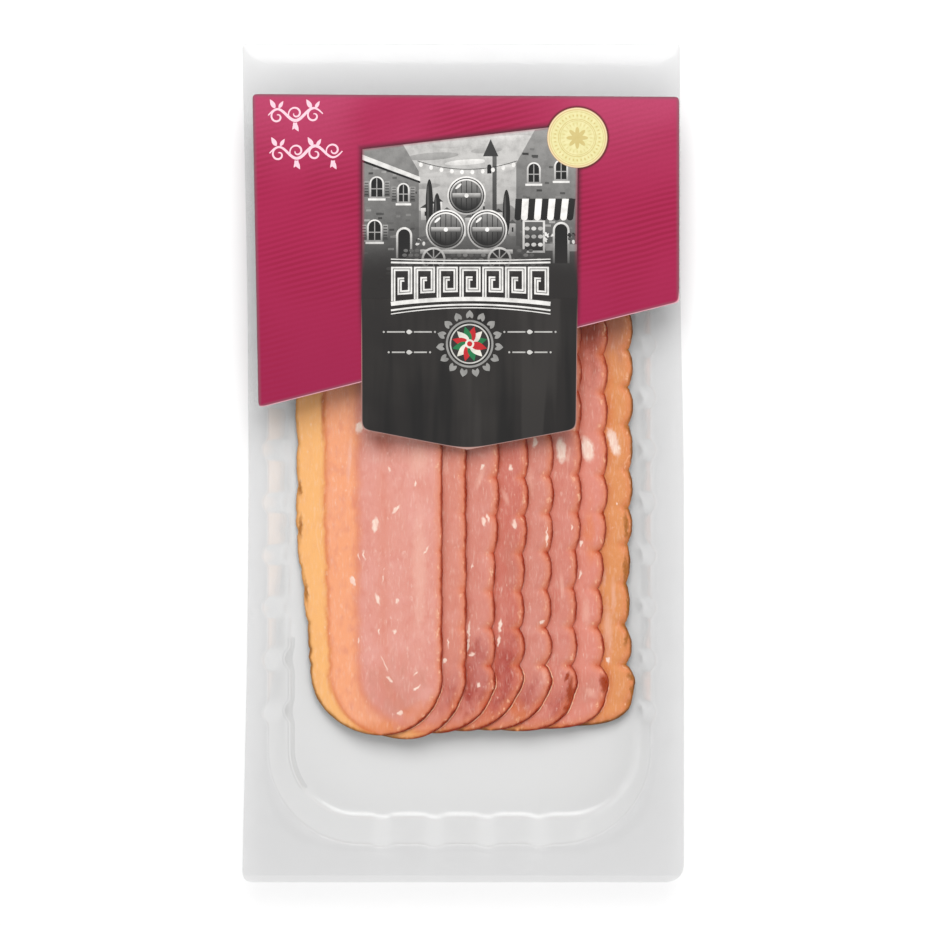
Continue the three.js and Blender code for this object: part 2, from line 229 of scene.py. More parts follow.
# Across the flange, from the recess (0) to the outer edge (1), with the height. A shallow
# groove runs round the recess, just outside its mouth.
FLANGE_LINE = [(0.10, 14.0), (0.13, 13.86), (0.17, 13.86), (0.20, 14.0), (0.5, 14.0),
               (0.985, 14.0), (0.997, 13.93), (1.0, 13.7), (0.997, 13.45), (0.985, 13.4),
               (0.5, 13.4), (0.20, 13.4)]
CLEAR_TINT, FLANGE_TINT = (0.968, 0.968, 0.967, 1), (0.906, 0.906, 0.907, 1)
# The darker tint below is painted shade for the floor's edge at the lower left.
EDGE_SHADE_TINT = (0.89, 0.89, 0.888, 1)
DIM_FROM, DIM_TO = (-60.0, -94.0, 0.501), (-42.5, -50.0, 1.7)
GRAZING_GLOSS, DRAWN_GLOSS = 0.3, 0.035      # more gloss at a slant, and on drawn walls


def smooth(value, low, high):
    """Runs smoothly from 0 to 1 as value goes from low to high."""
    t = np.clip((value - low) / (high - low), 0, 1)
    return t * t * (3 - 2 * t)


def flange_left(y):
    return -SIDE_X + WAIST * np.maximum(0, 1 - (y / WAIST_REACH) ** 2)


def flange_right(y):
    return SIDE_X - NARROWING * smooth(y, NARROW_FROM, NARROW_TO)


def flute_depth(along, flutes):
    """How far the wall stands out, at a distance along it."""
    count, middle, depth = flutes
    start = middle - (count - 1) / 2 * FLUTE_PITCH
    nearest = np.clip(np.round((along - start) / FLUTE_PITCH), 0, count - 1)
    off = np.abs(along - start - nearest * FLUTE_PITCH) / (FLUTE_WIDTH / 2)
    return depth * np.where(off < 1, np.cos(np.pi / 2 * np.minimum(off, 1)) ** 0.8, 0)


def bend(first, middle, last, steps):
    """Points on the curve that rounds a corner."""
    t = np.linspace(0, 1, steps)[:, None]
    first, middle, last = (np.array(p, float) for p in (first, middle, last))
    return (1 - t) ** 2 * first + 2 * t * (1 - t) * middle + t * t * last


def recess_stations():
    """Round the recess: places at the mouth and the floor, the way out, the flute's
    depth and the place on the flange's edge, as one array with a row for each."""
    # Each wall has its way out and the flange's edge beyond it, and then the corner that
    # follows it, with its way out and the flange's radius there.
    walls = (("right", (1, 0), flange_right, (1, 1), 1.6),
             ("head", (0, 1), lambda x: HEAD_Y + 0 * x, (-1, 1), 1.6),
             ("left", (-1, 0), flange_left, (-1, -1), 3.4),
             ("foot", (0, -1), lambda x: FOOT_Y + 0 * x, (1, -1), 6.0))
    sides = []
    for name, (dx, dy), flange_edge, _, _ in walls:
        low, high = ("foot", "head") if dx else ("left", "right")
        begin = max(MOUTH[low] + MOUTH["radius"], FLOOR[low] + FLOOR["radius"])
        end = min(MOUTH[high] - MOUTH["radius"], FLOOR[high] - FLOOR["radius"])
        along = np.linspace(begin, end, int((end - begin) / ALONG_STEP))
        if dx < 0 or dy > 0:
            along = along[::-1]
        across = (MOUTH[name] + 0 * along, FLOOR[name] + 0 * along, flange_edge(along))
        mouth, floor, edge = (np.stack([a, along] if dx else [along, a], 1) for a in across)
        depth = flute_depth(along, SIDE_FLUTES if dx else END_FLUTES)[:, None]
        sides.append(np.hstack([mouth, floor, np.tile([dx, dy], (len(along), 1)), depth, edge]))
    rows = []
    share = np.append(np.arange(1, LEG_STEPS + 1) / (LEG_STEPS + 1), 0.97)[:, None]
    for w, (_, _, _, (sx, sy), edge_radius) in enumerate(walls):
        turn = (w + np.arange(1, CORNER_STEPS) / CORNER_STEPS) * math.pi / 2
        out = np.stack([np.cos(turn), np.sin(turn)], 1)
        mouth, floor = ((shape["right" if sx > 0 else "left"] - sx * shape["radius"],
                         shape["head" if sy > 0 else "foot"] - sy * shape["radius"])
                        + shape["radius"] * out for shape in (MOUTH, FLOOR))
        before, after = sides[w][-1, 7:], sides[(w + 1) % 4][0, 7:]
        tip = np.array([(flange_right if sx > 0 else flange_left)(sy * CORNER_Y),
                        HEAD_Y if sy > 0 else FOOT_Y])
        to_tip, from_tip = tip - before, after - tip
        turn_in = tip - to_tip / np.linalg.norm(to_tip) * edge_radius
        turn_out = tip + from_tip / np.linalg.norm(from_tip) * edge_radius
        edge = np.vstack([before + (turn_in - before) * share[:-1],
                          bend(turn_in, tip, turn_out, CORNER_STEPS - 2 * LEG_STEPS - 2),
                          turn_out + (after - turn_out) * share])
        rows += [sides[w], np.hstack([mouth, floor, out, np.zeros((len(out), 1)), edge])]
    return np.vstack(rows)


def moulded(name, points, faces, materials, smooth_shaded=True, which=None):
    """A mesh piece from points in millimetres. It moves with the pack."""
    mesh = bpy.data.meshes.new(name)
    mesh.from_pydata((np.asarray(points, float) * MM).tolist(), [],
                     [tuple(int(i) for i in f) for f in faces])
    for material in materials:
        mesh.materials.append(material)
    if which is not None:
        mesh.polygons.foreach_set("material_index", np.asarray(which, np.int32))
    if smooth_shaded:
        mesh.polygons.foreach_set("use_smooth", np.ones(len(mesh.polygons), bool))
    mesh.update()
    piece = bpy.data.objects.new(name, mesh)
    bpy.context.collection.objects.link(piece)
    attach(piece, "root")
    return piece


def store(piece, name, values):
    """Keeps a number for each point of a piece, for its material to read."""
    kept = piece.data.attributes.new(name, "FLOAT", "POINT")
    kept.data.foreach_set("value", np.asarray(values, np.float32))


def skin_of_rings(rings, first_centre, last_centre):
    """Points and faces of a closed skin through rings of equal length."""
    count = len(rings[0])
    points = np.vstack([[first_centre], *rings, [last_centre]])
    i = np.arange(count)
    onward = (i + 1) % count
    faces = [(0, 1 + a, 1 + b) for a, b in zip(i, onward)]
    for r in range(len(rings) - 1):
        here, there = 1 + r * count, 1 + (r + 1) * count
        faces.extend(zip(here + i, there + i, there + onward, here + onward))
    last = 1 + (len(rings) - 1) * count
    faces.extend((len(points) - 1, last + b, last + a) for a, b in zip(i, onward))
    return points, faces


def clear_plastic(name, tint, gloss_share, roughness, wave_height, wave_size):
    """Clear sheet: see-through, a little grey, and glossy with slow waves in it."""
    material, start = new_material(name)
    waves = start.noise(start.place(), 1 / (wave_size * MM), 1.0, 0.45)
    clear = start.node("BsdfTransparent", {}, {"Color": tint})
    gloss = start.node("BsdfGlossy", {}, {"Color": (1, 1, 1, 1), "Roughness": roughness,
                                          "Normal": start.bump(waves, wave_height)})
    grazing = start.node("LayerWeight", {}, {"Blend": 0.5}, "Facing")
    drawn = start.attribute("drawn_wall") * DRAWN_GLOSS
    start.surface(start.node("MixShader", {}, {
        0: grazing ** 5 * GRAZING_GLOSS + gloss_share + drawn, 1: clear, 2: gloss}))
    return material


stations = recess_stations()
mouth_at, floor_at, way_out = stations[:, 0:2], stations[:, 2:4], stations[:, 4:6]
flute_at, edge_at = stations[:, 6:7], stations[:, 7:9]


def wall_ring(fraction, z, outset, flute=1.0):
    """Between the mouth of the recess (0) and its floor (1), and on over the floor."""
    flat = mouth_at + (floor_at - mouth_at) * fraction + way_out * (flute_at * flute + outset)
    return np.hstack([flat, np.full((len(flat), 1), z)])


def flange_ring(fraction, z):
    """Between the mouth of the recess (0) and the outer edge of the flange (1)."""
    begin = mouth_at + way_out * flute_at
    flat = begin + (edge_at - begin) * fraction
    return np.hstack([flat, np.full((len(flat), 1), z)])


# Down the wall: the share of the way from mouth to floor, and the height.
wall_line = np.vstack([
    bend((0.0, FLANGE_TOP), (0.035, FLANGE_TOP), (0.10, 12.9), 5),
    [[0.3, 9.9], [0.5, 6.9], [0.7, 3.9]],
    bend((0.80, 2.4), (0.94, FLOOR_TOP), (1.16, FLOOR_TOP), 7)])
inside = [wall_ring(f, z, 0, 1 - smooth(f, 1.0, 1.16)) for f, z in wall_line]
inside += [wall_ring(f, FLOOR_TOP, 0, 0) for f in FLOOR_RINGS]
outside = [wall_ring(f, z - (SHEET if i else FLANGE_THICK), SHEET, 1 - smooth(f, 1.0, 1.16))
           for i, (f, z) in enumerate(wall_line)]
outside += [wall_ring(f, 0.0, SHEET, 0) for f in FLOOR_RINGS]
flange = [flange_ring(f, z) for f, z in FLANGE_LINE]
points, faces = skin_of_rings(inside[::-1] + flange + outside, (0, -4, FLOOR_TOP), (0, -4, 0))
recess_plastic = clear_plastic("recess_plastic", CLEAR_TINT, gloss_share=0.024, roughness=0.06,
                               wave_height=0.05, wave_size=14)
flange_plastic = clear_plastic("flange_plastic", FLANGE_TINT, gloss_share=0.034, roughness=0.12,
                               wave_height=0.03, wave_size=6)
# Painted shade: the floor's rounded edge bends the light away at the lower left, and looks
# darker there, so the faces there get a darker tint.
dim_plastic = clear_plastic("edge_shade_plastic", EDGE_SHADE_TINT, gloss_share=0.024, roughness=0.06,
                            wave_height=0.05, wave_size=14)
which = []
for face in faces:
    corners = points[list(face)]
    dim = (corners.min(0) > DIM_FROM).all() and (corners.max(0) < DIM_TO).all()
    on_flange = corners[:, 2].min() > FLANGE_TOP - FLANGE_THICK - 0.2
    which.append(1 if on_flange else 2 if dim else 0)
tray = moulded("tray_shell", points, faces, [recess_plastic, flange_plastic, dim_plastic],
               which=which)
# The wall is dullest between its flutes, where the sheet was drawn over the flat mould.
between = 1 - np.minimum(1, flute_at[:, 0] / 0.4)
on_wall = [between * smooth(f, 0.03, 0.12) * (1 - smooth(f, 0.85, 1.05)) for f, _ in wall_line]
flat_ring = np.zeros(len(stations))
store(tray, "drawn_wall", np.concatenate([
    [0], *[flat_ring] * len(FLOOR_RINGS), *on_wall[::-1], *[flat_ring] * len(FLANGE_LINE),
    *on_wall, *[flat_ring] * len(FLOOR_RINGS), [0]]))
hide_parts("tray")

# ---------------------------------------------------------------- slices of beef
# Eight slices of cured beef, cut thin enough for light to come through, laid from right
# to left so that each leans on the one before. The cut edge is dark from the cure, with
# painted shade along it, and nicked where the netting held the joint.

SLICES = 8
SLICE_RIGHT = [-5.9, 1.0, 9.0, 17.3, 25.0, 32.4, 39.8, 47.6]
SLICE_WIDTH = [42.0, 40.6, 39.4, 40.2, 40.4, 40.6, 40.9, 40.6]
SLICE_FOOT = [-78.2, -79.3, -77.6, -77.0, -76.8, -77.0, -76.4, -75.6]
SLICE_HEAD = [90.0, 90.8, 89.4, 89.0, 88.4, 89.2, 88.2, 87.6]
SLICE_SCALLOP = [0.25, 0.45, 1.1, 1.35, 1.5, 1.4, 1.6, 1.7]
SCALLOP_PITCH, SCALLOP_AT, SCALLOP_ENDS = 10.9, -3.4, (7.0, 15.0)
SCALLOP_POWER, FOOT_GAIN = 0.7, 0.5      # sharp nicks between round bumps, fuller at the foot
NICK_SHIFT, HEAD_SHIFT = [0, 0, -0.6, -0.7, -0.2, 0.2, 0, 1.6], 1.9      # of the nicks, in mm
LEFT_NOTCHES = [5.7, -6.0, -14.3, -19.7, -30.0, -36.2, -45.7, -53.7, -58.0]
NOTCH_DEPTH, NOTCH_WIDTH, CRINKLE, FINE_WAVE = 0.35, 1.1, 0.3, 0.10
CREST = 0.42                       # the share of a slice's width right of its crest
SLICE_THICK, FLOOR_PLAY = 0.9, 0.25
LEAN, LEVEL_FROM, LEVEL_BLEND, RIPPLE = 0.168, 15.0, 4.0, 0.22
CROWN_RISE, CROWN_X, CROWN_Y, CROWN_REACH_X, CROWN_REACH_Y = 2.4, 2.0, 12.0, 38.0, 55.0
LEFT_CORNER = (19.0, 2.0, 2.0)
RIGHT_CORNER = [(17.0, 2.0, 2.0), (20.0, 2.0, 2.0), (16.0, 2.0, 2.0), (19.0, 2.0, 2.0),
                (15.0, 2.0, 2.0), (18.0, 3.0, 2.6), (11.0, 3.2, 2.6), (9.0, 3.0, 2.6)]
SLICE_SLANT, SLANT_FROM, SLANT_TO = [3.8, 1.2, 0, 0, 0, 0, 0, 0], 62.0, 20.0
SLICE_SLIDE, SLIDE_FROM, SLIDE_TO = [0, 0, 1.2, 1.2, 0.7, 1.4, 1.4, 0.8], -36.0, -10.0
SLICE_SPLAY = [0, 0, 0, 0, 0, 0, 1.5, 1.4]
SPLAY_AT, SPLAY_REACH = -64.0, 8.0
# Points set closely by the edge, and wider towards the middle.
RIM_COLUMNS = np.array([0, 0.04, 0.10, 0.20, 0.34, 0.52, 0.76, 1.1, 1.6, 2.3, 3.2])
MIDDLE_COLUMNS = 34
END_ROWS = np.array([0.02, 0.06, 0.14, 0.28, 0.5, 0.85, 1.4, 2.2, 3.2, 4.4])
ROW_STEP, OUTLINE_STEP = 0.6, 0.12

# Colours by how many slices lie under this one, and of the edge on either side.
NONE_UNDER = [ink(250, 186, 118)] * 7 + [ink(226, 149, 94)]
ONE_UNDER = [ink(248, 168, 124), ink(234, 154, 122), ink(226, 142, 118), ink(218, 134, 112),
             ink(220, 138, 114), ink(216, 134, 114), ink(224, 141, 124), ink(226, 149, 94)]
MORE_UNDER = [ink(228, 156, 141), ink(220, 142, 124), ink(218, 140, 124), ink(208, 120, 104),
              ink(214, 137, 121), ink(215, 135, 119), ink(224, 144, 126), ink(226, 149, 94)]
LEFT_EDGE, LEFT_RIM = ink(206, 132, 54), ink(124, 78, 30)
RIGHT_EDGE = [ink(214, 98, 48), ink(200, 80, 36), ink(190, 70, 36), ink(184, 66, 34),
              ink(190, 74, 40), ink(186, 70, 38), ink(190, 78, 36), ink(178, 104, 34)]
RIGHT_RIM = [ink(140, 36, 6)] * 7 + [ink(118, 70, 28)]
EDGE_GLOW, PAINTED_GLINT = ink(226, 132, 88), ink(255, 208, 170)
FAT, FAT_STREAK, SHEEN = ink(255, 232, 216), ink(242, 190, 172), ink(246, 194, 176)
DEEP, DULL_AND_SHADE, UNDER_LABEL_SHADE = ink(172, 70, 60), ink(192, 122, 104), ink(168, 66, 40)
ORANGE, BURIED_EDGE, JUICE_AND_SHADE = ink(226, 126, 62), ink(214, 112, 68), ink(196, 84, 48)
CREASE, CURE = ink(160, 96, 32), ink(156, 54, 12)

# Marks that show well, by slice. Each has its place, length and width in mm, and its tilt.
# Fat flecks; slice 1's third, by the shield's corner, is a painted highlight on the film.
FAT_FLECKS_AND_GLINT = {
    0: [(-25.2, -17.6, 4.9, 1.7, -6), (-19.2, -13.2, 3.8, 0.9, -42), (-29.7, 10.2, 3.8, 2.3, -16),
        (-21.2, -1.8, 1.5, 0.8, 0), (-31.6, -33.9, 3.4, 1.3, 14), (-24.6, -39, 3.4, 1.5, 18),
        (-18.8, -39.6, 1.6, 0.9, -12), (-22.6, -57.4, 5.6, 0.36, 27), (-21, -62.2, 2.6, 0.9, 42),
        (-18, -71.7, 1.3, 1.9, 8), (-13.2, -64.4, 2.6, 0.7, -62), (-10.6, -25, 3.4, 0.4, -32),
        (-19.6, -48.4, 1.2, 1.4, 40), (-23, -33, 2.4, 0.5, -10), (-30, -51, 2.4, 0.5, 0),
        (-13.6, -60.4, 1.6, 0.4, -48), (-28.4, -26.4, 3, 0.7, 8), (-29.9, -26.9, 2.6, 0.5, 10),
        (-24.2, -48.4, 1.6, 0.6, 0), (-13.7, -5.8, 1.9, 0.5, 0)],
    1: [(-5.2, -56.6, 1.5, 1.3, 0), (-7, -2, 2.2, 0.5, -12), (-6.6, -17.6, 1.2, 0.5, 0),
        (-8.2, -14.8, 1, 0.6, 0), (-4.2, -51.6, 3, 0.4, 0)],
    2: [(5.6, -1, 2, 1, -20), (5.8, -16.6, 3.2, 1.2, 14), (7.1, -15.8, 2.7, 0.9, 14),
        (1.7, -47.6, 5.2, 0.9, -4), (1.3, -52.2, 4.2, 1.1, -6), (2.6, -54.9, 1, 2.2, 8),
        (4.4, -63.6, 2, 0.7, -20), (2.6, -29.6, 1.8, 0.4, -10)],
    3: [(13.6, -1.4, 2, 1.1, -6), (14.8, -17.6, 2.9, 1.4, 14), (10.6, -46.6, 4.2, 1.2, -4),
        (10.2, -51, 3.4, 0.9, -12)],
    4: [(20.6, 5.8, 3.2, 1.6, -8), (24, -21, 6.2, 0.6, -2), (22.6, -45.6, 1.6, 1.1, -50)],
    5: [(28.2, 3.6, 7.8, 2.9, 4), (31.1, -18.4, 2.2, 0.4, 6)],
    6: [(35.7, 3.9, 7.6, 4, 14), (34, -23.2, 2.2, 0.8, -22), (33.6, -32, 2.4, 0.7, -14)],
    7: [(43.3, 6, 8.8, 3.2, 17), (41.8, -56.6, 1.9, 1, 20), (44.2, -11.8, 1, 0.7, 0)],
}
# Painted highlights: soft pale sheens where the film lies on the beef.
SHEENS = {
    0: [(-12.6, 0.4, 9, 7, 0), (-12.4, -31, 40, 4.6, 0), (-32.6, 1, 16, 1.4, -4)],
    1: [(-5.2, -0.6, 7, 2.6, 8)],
    2: [(5, -4, 8.4, 1.8, -18)],
    3: [(12, -9.6, 6, 1.6, 24)],
    4: [(23.4, -60.4, 7, 1.9, 4), (18.8, -6, 9, 3.2, 0)],
    5: [(28.4, -35.2, 8, 1.4, 4), (30.2, 2, 6, 1.2, -4)],
    6: [(35.4, -42.6, 9, 2.6, 4), (36.8, -66, 4, 2.4, 50)],
    7: [(43.2, -38, 12, 1.4, 0), (40.6, -33, 6, 1.2, 0), (41.6, -48, 18, 3, 2)],
}
CURE_PATCHES = {
    5: [(30.7, -65.6, 10, 2.2, -2), (29.8, -61.4, 3.6, 1.1, -24), (29.8, -70.4, 3.4, 2, -30)],
    6: [(40.4, -63.8, 6.6, 2.8, 8), (40.4, -15, 3, 0.9, 0), (40.9, -62.6, 4, 2, 0)],
}
DEEP_PATCHES = {
    1: [(-3.4, -65, 20, 9, -16), (-6, 8, 8, 4, 0)],
    2: [(4.4, -61, 27, 11, -14), (4.4, -60, 22, 8, -14), (4.4, -60, 20, 9, -14)],
    3: [(11.6, -60, 28, 11, -14), (11.6, -60, 22, 8, -14)],
    4: [(18.6, -68, 16, 9, -24)],
    5: [(28.6, -70, 12, 10, -24)],
}
DULL_AND_SHADE_PATCHES = {
    0: [(-19, -67, 24, 22, 10)],
    1: [(-6, -20, 20, 5, 0)],
    3: [(14, -30, 24, 6, 0)],
    6: [(35.6, -66, 14, 8, -20)],
    # Slice 8's two patches at its top, just under the label's edge, are painted shade.
    7: [(43.6, 37, 20, 12, 0), (43.6, 40, 16, 12, 0)],
}
# Reddish painted shade just below the lower edges of the label and the shield.
SHADE_UNDER_LABEL = {
    0: [(-22.4, 5.6, 6.6, 6.2, 0), (-40.2, 14.5, 17, 1.6, 0)],
    5: [(29.4, 34, 30, 9, 0)],
    6: [(36.2, 36, 30, 15, 0), (36.2, 40, 20, 15, 0)],
}
CREASES = {
    0: [(-46.8, -7.4, 5, 1.1, 0), (-46.7, -18.5, 8, 1.2, -3), (-45, -37, 8, 1.1, 5)],
    7: [(46.9, -18.3, 10, 1.5, 3), (46.7, -31, 10, 1.6, 0), (47.3, -41, 7, 0.8, 2),
        (47.2, -50, 7, 1.5, -12), (48.3, -57, 3, 2, 30), (48.2, -61.4, 2.4, 2.6, -20),
        (48.6, -65.6, 4, 1.4, 8)],
}
ORANGE_PATCHES = {
    0: [(-25, -76.4, 4.6, 26, 4), (-14, -72, 5, 14, 40)],
    3: [(6, -74, 6, 13, -60)],
    4: [(16, -72, 7, 12, -50)],
    6: [(36, -20, 20, 4, 0)],
    7: [(40, -56, 26, 5, 4), (41, 14, 30, 5, 0)],
}
dice = np.random.default_rng(11)
BUMP_GAIN = dice.uniform(0.80, 1.25, (SLICES, 40))      # how full each single bump is
SLICE_VALUES = ("under", "ghost", "rim", "right_side", "nick", "beside", "shaded")


def end_closing(distance, taper, sharpness, squareness):
    """How wide a rounded end has opened, from 0 to 1, at a distance from its tip."""
    t = np.clip(distance / taper, 0, 1)
    return (1 - (1 - t) ** sharpness) ** (1 / squareness)


def nick_phase(k, y):
    """Counts the scallops along a slice; whole numbers fall on the nicks."""
    shift = NICK_SHIFT[k] * smooth(y, -58, -36) + HEAD_SHIFT * smooth(y, -2, 14)
    return (y - SCALLOP_AT - shift) / SCALLOP_PITCH


def slice_edges(k, y):
    """Left and right edge of a slice, in mm, at each height y."""
    along = nick_phase(k, y)
    gain = BUMP_GAIN[k][np.floor(along).astype(int) % 40]
    nicks = np.abs(np.sin(np.pi * along)) ** SCALLOP_POWER
    width = SLICE_WIDTH[k]
    from_end = np.minimum(y - SLICE_FOOT[k], SLICE_HEAD[k] - y)
    crest = SLICE_RIGHT[k] - CREST * width
    left = end_closing(from_end, *LEFT_CORNER)
    right = end_closing(from_end, *RIGHT_CORNER[k])
    slant = SLICE_SLANT[k] * (1 - smooth(from_end, SLANT_TO, SLANT_FROM))
    slide = SLICE_SLIDE[k] * smooth(y, SLIDE_FROM, SLIDE_TO)
    splay = SLICE_SPLAY[k] * np.exp(-((y - SPLAY_AT) / SPLAY_REACH) ** 2)
    bumps = SLICE_SCALLOP[k] * gain * (nicks - 0.7) * (0.82 + FOOT_GAIN * smooth(-y, 40, 52))
    bumps = bumps * smooth(from_end, *SCALLOP_ENDS)
    fine = FINE_WAVE * np.sin(y * 2.9 + 3 * k) * np.sin(y * 1.27 + k)
    crinkle = CRINKLE * np.sin(y / 3.1 + k) * np.sin(y / 7.3 + 2 * k)
    notches = sum(NOTCH_DEPTH * np.exp(-((y - at) / NOTCH_WIDTH) ** 2) for at in LEFT_NOTCHES)
    return (crest - ((1 - CREST) * width - slant - crinkle - notches - fine) * left,
            crest + (CREST * width + bumps + splay + slide + fine) * right)


def resting_height(k, x, y):
    """Height of a slice's underside as it leans on the slices to its right."""
    def lean(at):
        """Rises evenly, and levels off to the right."""
        return LEVEL_FROM - LEVEL_BLEND * np.log1p(np.exp((LEVEL_FROM - at) / LEVEL_BLEND))
    foot = SLICE_RIGHT[k] - SLICE_WIDTH[k]
    rise = LEAN * (lean(np.maximum(x, foot - 1)) - lean(foot))
    ripple = RIPPLE * (1 + np.sin(x / 9 + 1) * np.sin(y / 11))
    crown = CROWN_RISE * np.exp(-((x - CROWN_X) / CROWN_REACH_X) ** 2
                                - ((y - CROWN_Y) / CROWN_REACH_Y) ** 2)
    return FLOOR_TOP + FLOOR_PLAY + np.maximum(rise, -0.1) + ripple + crown


def edge_finder(k):
    """A search tree of points set closely along the slice's outline."""
    ends = np.linspace(0, 1, 400) ** 3 * 5 + 0.005
    foot, head = SLICE_FOOT[k], SLICE_HEAD[k]
    y = np.concatenate([foot + ends, np.arange(foot + 5.1, head - 5.1, 0.1), (head - ends)[::-1]])
    left, right = slice_edges(k, y)
    ring = np.vstack([np.stack([left, y], 1), np.stack([right, y], 1)[::-1]])
    length = np.concatenate([[0], np.cumsum(np.linalg.norm(np.diff(ring, axis=0), axis=1))])
    even = np.arange(0, length[-1], OUTLINE_STEP)
    tree = KDTree(len(even))
    for i, (px, py) in enumerate(zip(np.interp(even, length, ring[:, 0]),
                                     np.interp(even, length, ring[:, 1]))):
        tree.insert((px, py, 0), i)
    tree.balance()
    return tree


edge_finders = [edge_finder(k) for k in range(SLICES)]


def depth_inside(k, x, y):
    """Distance in from the slice's edge, in mm, negative outside it."""
    find = edge_finders[k].find
    away = np.array([find((px, py, 0))[2] for px, py in zip(x.tolist(), y.tolist())])
    within = np.clip(y, SLICE_FOOT[k] + 0.01, SLICE_HEAD[k] - 0.01)
    left, right = slice_edges(k, within)
    covered = (x > left) & (x < right) & (y > SLICE_FOOT[k]) & (y < SLICE_HEAD[k])
    return np.where(covered, away, -away)


def layered(colour, *layers):
    """Lays paints over a colour, one after another, each where its cover says."""
    for cover, paint in layers:
        colour = cover.tint(colour, paint)
    return colour


def beef_material(k):
    """Cured beef: colour by the slices under it, fibres, fat flecks and a dark edge."""
    material, start = new_material(f"beef_{k + 1}")
    in_mm = start.place_mm()
    shifted = start.vector("ADD", {0: in_mm, 1: (17.0 * k, 9.0 * k, 0)})
    under, ghost, rim, right_side, nick, beside, shaded = map(start.attribute, SLICE_VALUES)

    def grain(scale, detail, stretch=1.0):
        drawn = start.vector("MULTIPLY", {0: shifted, 1: (1.0, 1.0 / stretch, 1.0)})
        return start.noise(drawn, scale, detail, 0.55)

    def marked(colour, marks, place, ragged, paint, soft, strength):
        """Lays this slice's share of the marks over its colour, each a ragged oval."""
        for x, y, length, width, tilt in marks.get(k, ()):
            oval = start.node("Mapping", {"vector_type": "TEXTURE"}, {
                "Vector": place, "Location": (x, y, 0), "Rotation": (0, 0, math.radians(tilt)),
                "Scale": (width / 2, length / 2, 1e5)})
            away = oval.vector("LENGTH", {0: oval}, "Value")
            cover = (away + ragged).step(1 - soft, 1 + soft * 0.4, strength, 0.0)
            colour = cover.tint(colour, paint)
        return colour

    blotch, cloud = grain(0.11, 2.0), grain(0.42, 3.0, 1.8)
    fibre, fine = grain(2.1, 4.0, 5.0), grain(6.0, 3.0, 1.6)
    colour = layered(NONE_UNDER[k], (under.step(0.15, 1.0), ONE_UNDER[k]),
                     (under.step(1.05, 2.0), MORE_UNDER[k]))
    red, green, blue = MORE_UNDER[k][:3]
    paler = (min(1, red * 1.08), green * 1.24, blue * 1.34, 1)
    redder = (red * 0.92, green * 0.74, blue * 0.72, 1)
    ragged, smoky = (grain(1.1, 3.0, 1.6) - 0.5) * 0.9, (cloud - 0.5) * 1.6
    pull = start.vector("MULTIPLY_ADD", {0: start.noise(shifted, 0.75, 2.0, output="Color"),
                                         1: (1.5, 1.5, 0), 2: (-0.75, -0.75, 0)})
    bent = start.vector("ADD", {0: in_mm, 1: pull})
    # Painted shade: the smudges, and slice 8's top dull patches, darken the beef below the label.
    for marks, paint, soft, strength in (
            (DEEP_PATCHES, DEEP, 0.9, 0.70), (DULL_AND_SHADE_PATCHES, DULL_AND_SHADE, 0.9, 0.42),
            (SHADE_UNDER_LABEL, UNDER_LABEL_SHADE, 1.0, 0.72), (ORANGE_PATCHES, ORANGE, 0.9, 0.5)):
        colour = marked(colour, marks, in_mm, smoky, paint, soft, strength)
    fleshy = under.step(0.3, 1.3, 0.12, 1.0)
    specks = grain(1.25, 2.0, 2.6).step(0.66, 0.72) * fine.step(0.40, 0.62)
    colour = layered(
        colour,
        (blotch.step(0.42, 0.68) * 0.45 * under.step(0.6, 2.0), paler),
        (cloud.step(0.46, 0.74) * fleshy * 0.42, redder),
        (fibre.step(0.50, 0.78) * 0.26, FAT),
        (fine.step(0.50, 0.80) * fibre.step(0.3, 0.6) * fleshy * 0.20, redder),
        # The edges of the slices underneath show through as soft reddish bands.
        (ghost * 0.70, BURIED_EDGE),
        (specks * 0.5, FAT))
    # Painted highlights: the soft sheens.
    colour = marked(colour, SHEENS, in_mm, ragged, SHEEN, 0.8, 0.42)
    # Beside the slice on top, juice and painted shade darken the beef. Towards its own edge
    # it turns orange, then dark where it took the cure and where painted shade follows the
    # scallops, with painted wet glints just inside.
    inward = rim + smoky - nick * 0.6
    fading = inward.step(-0.4, 1.9, 1.0, 0.0)
    dark = rim + (cloud - 0.5) * 1.1 + (fine - 0.5) * 0.3 + nick * 0.34
    # Painted highlights: small wet glints just inside the right edge.
    painted_glints = grain(0.9, 1.0, 2.2).step(0.62, 0.70) * fine.step(0.42, 0.60)
    just_inside = right_side * inward.step(0.3, 0.7) * inward.step(2.6, 1.2)
    colour = layered(
        colour,
        ((beside + (cloud - 0.5) * 0.3) * 0.6, JUICE_AND_SHADE),
        (inward.step(0.2, 3.0, 1.0, 0.0) * right_side * 0.6, EDGE_GLOW),
        (fading * fading * (shaded * 0.5 + 0.45), right_side.tint(LEFT_EDGE, RIGHT_EDGE[k])),
        (dark.step(0.10, 0.95, 0.97, 0.0) * shaded, right_side.tint(LEFT_RIM, RIGHT_RIM[k])),
        (painted_glints * just_inside * 0.8, PAINTED_GLINT))
    colour = marked(colour, CREASES, bent, ragged, CREASE, 0.8, 0.86)
    colour = marked(colour, CURE_PATCHES, bent, ragged * 0.9, CURE, 0.7, 0.92)
    streaked = (fibre.step(0.40, 0.58) * 0.45).tint(FAT, FAT_STREAK)
    colour = marked(colour, FAT_FLECKS_AND_GLINT, bent, ragged * 0.5, streaked, 0.45, 0.90)
    relief = start.bump(fibre * 0.4 + fine * 0.3 + cloud * 0.9, 0.12)
    start.coat(colour, cloud.step(0.3, 0.75, 0.26, 0.46), 0.12, relief)
    return material


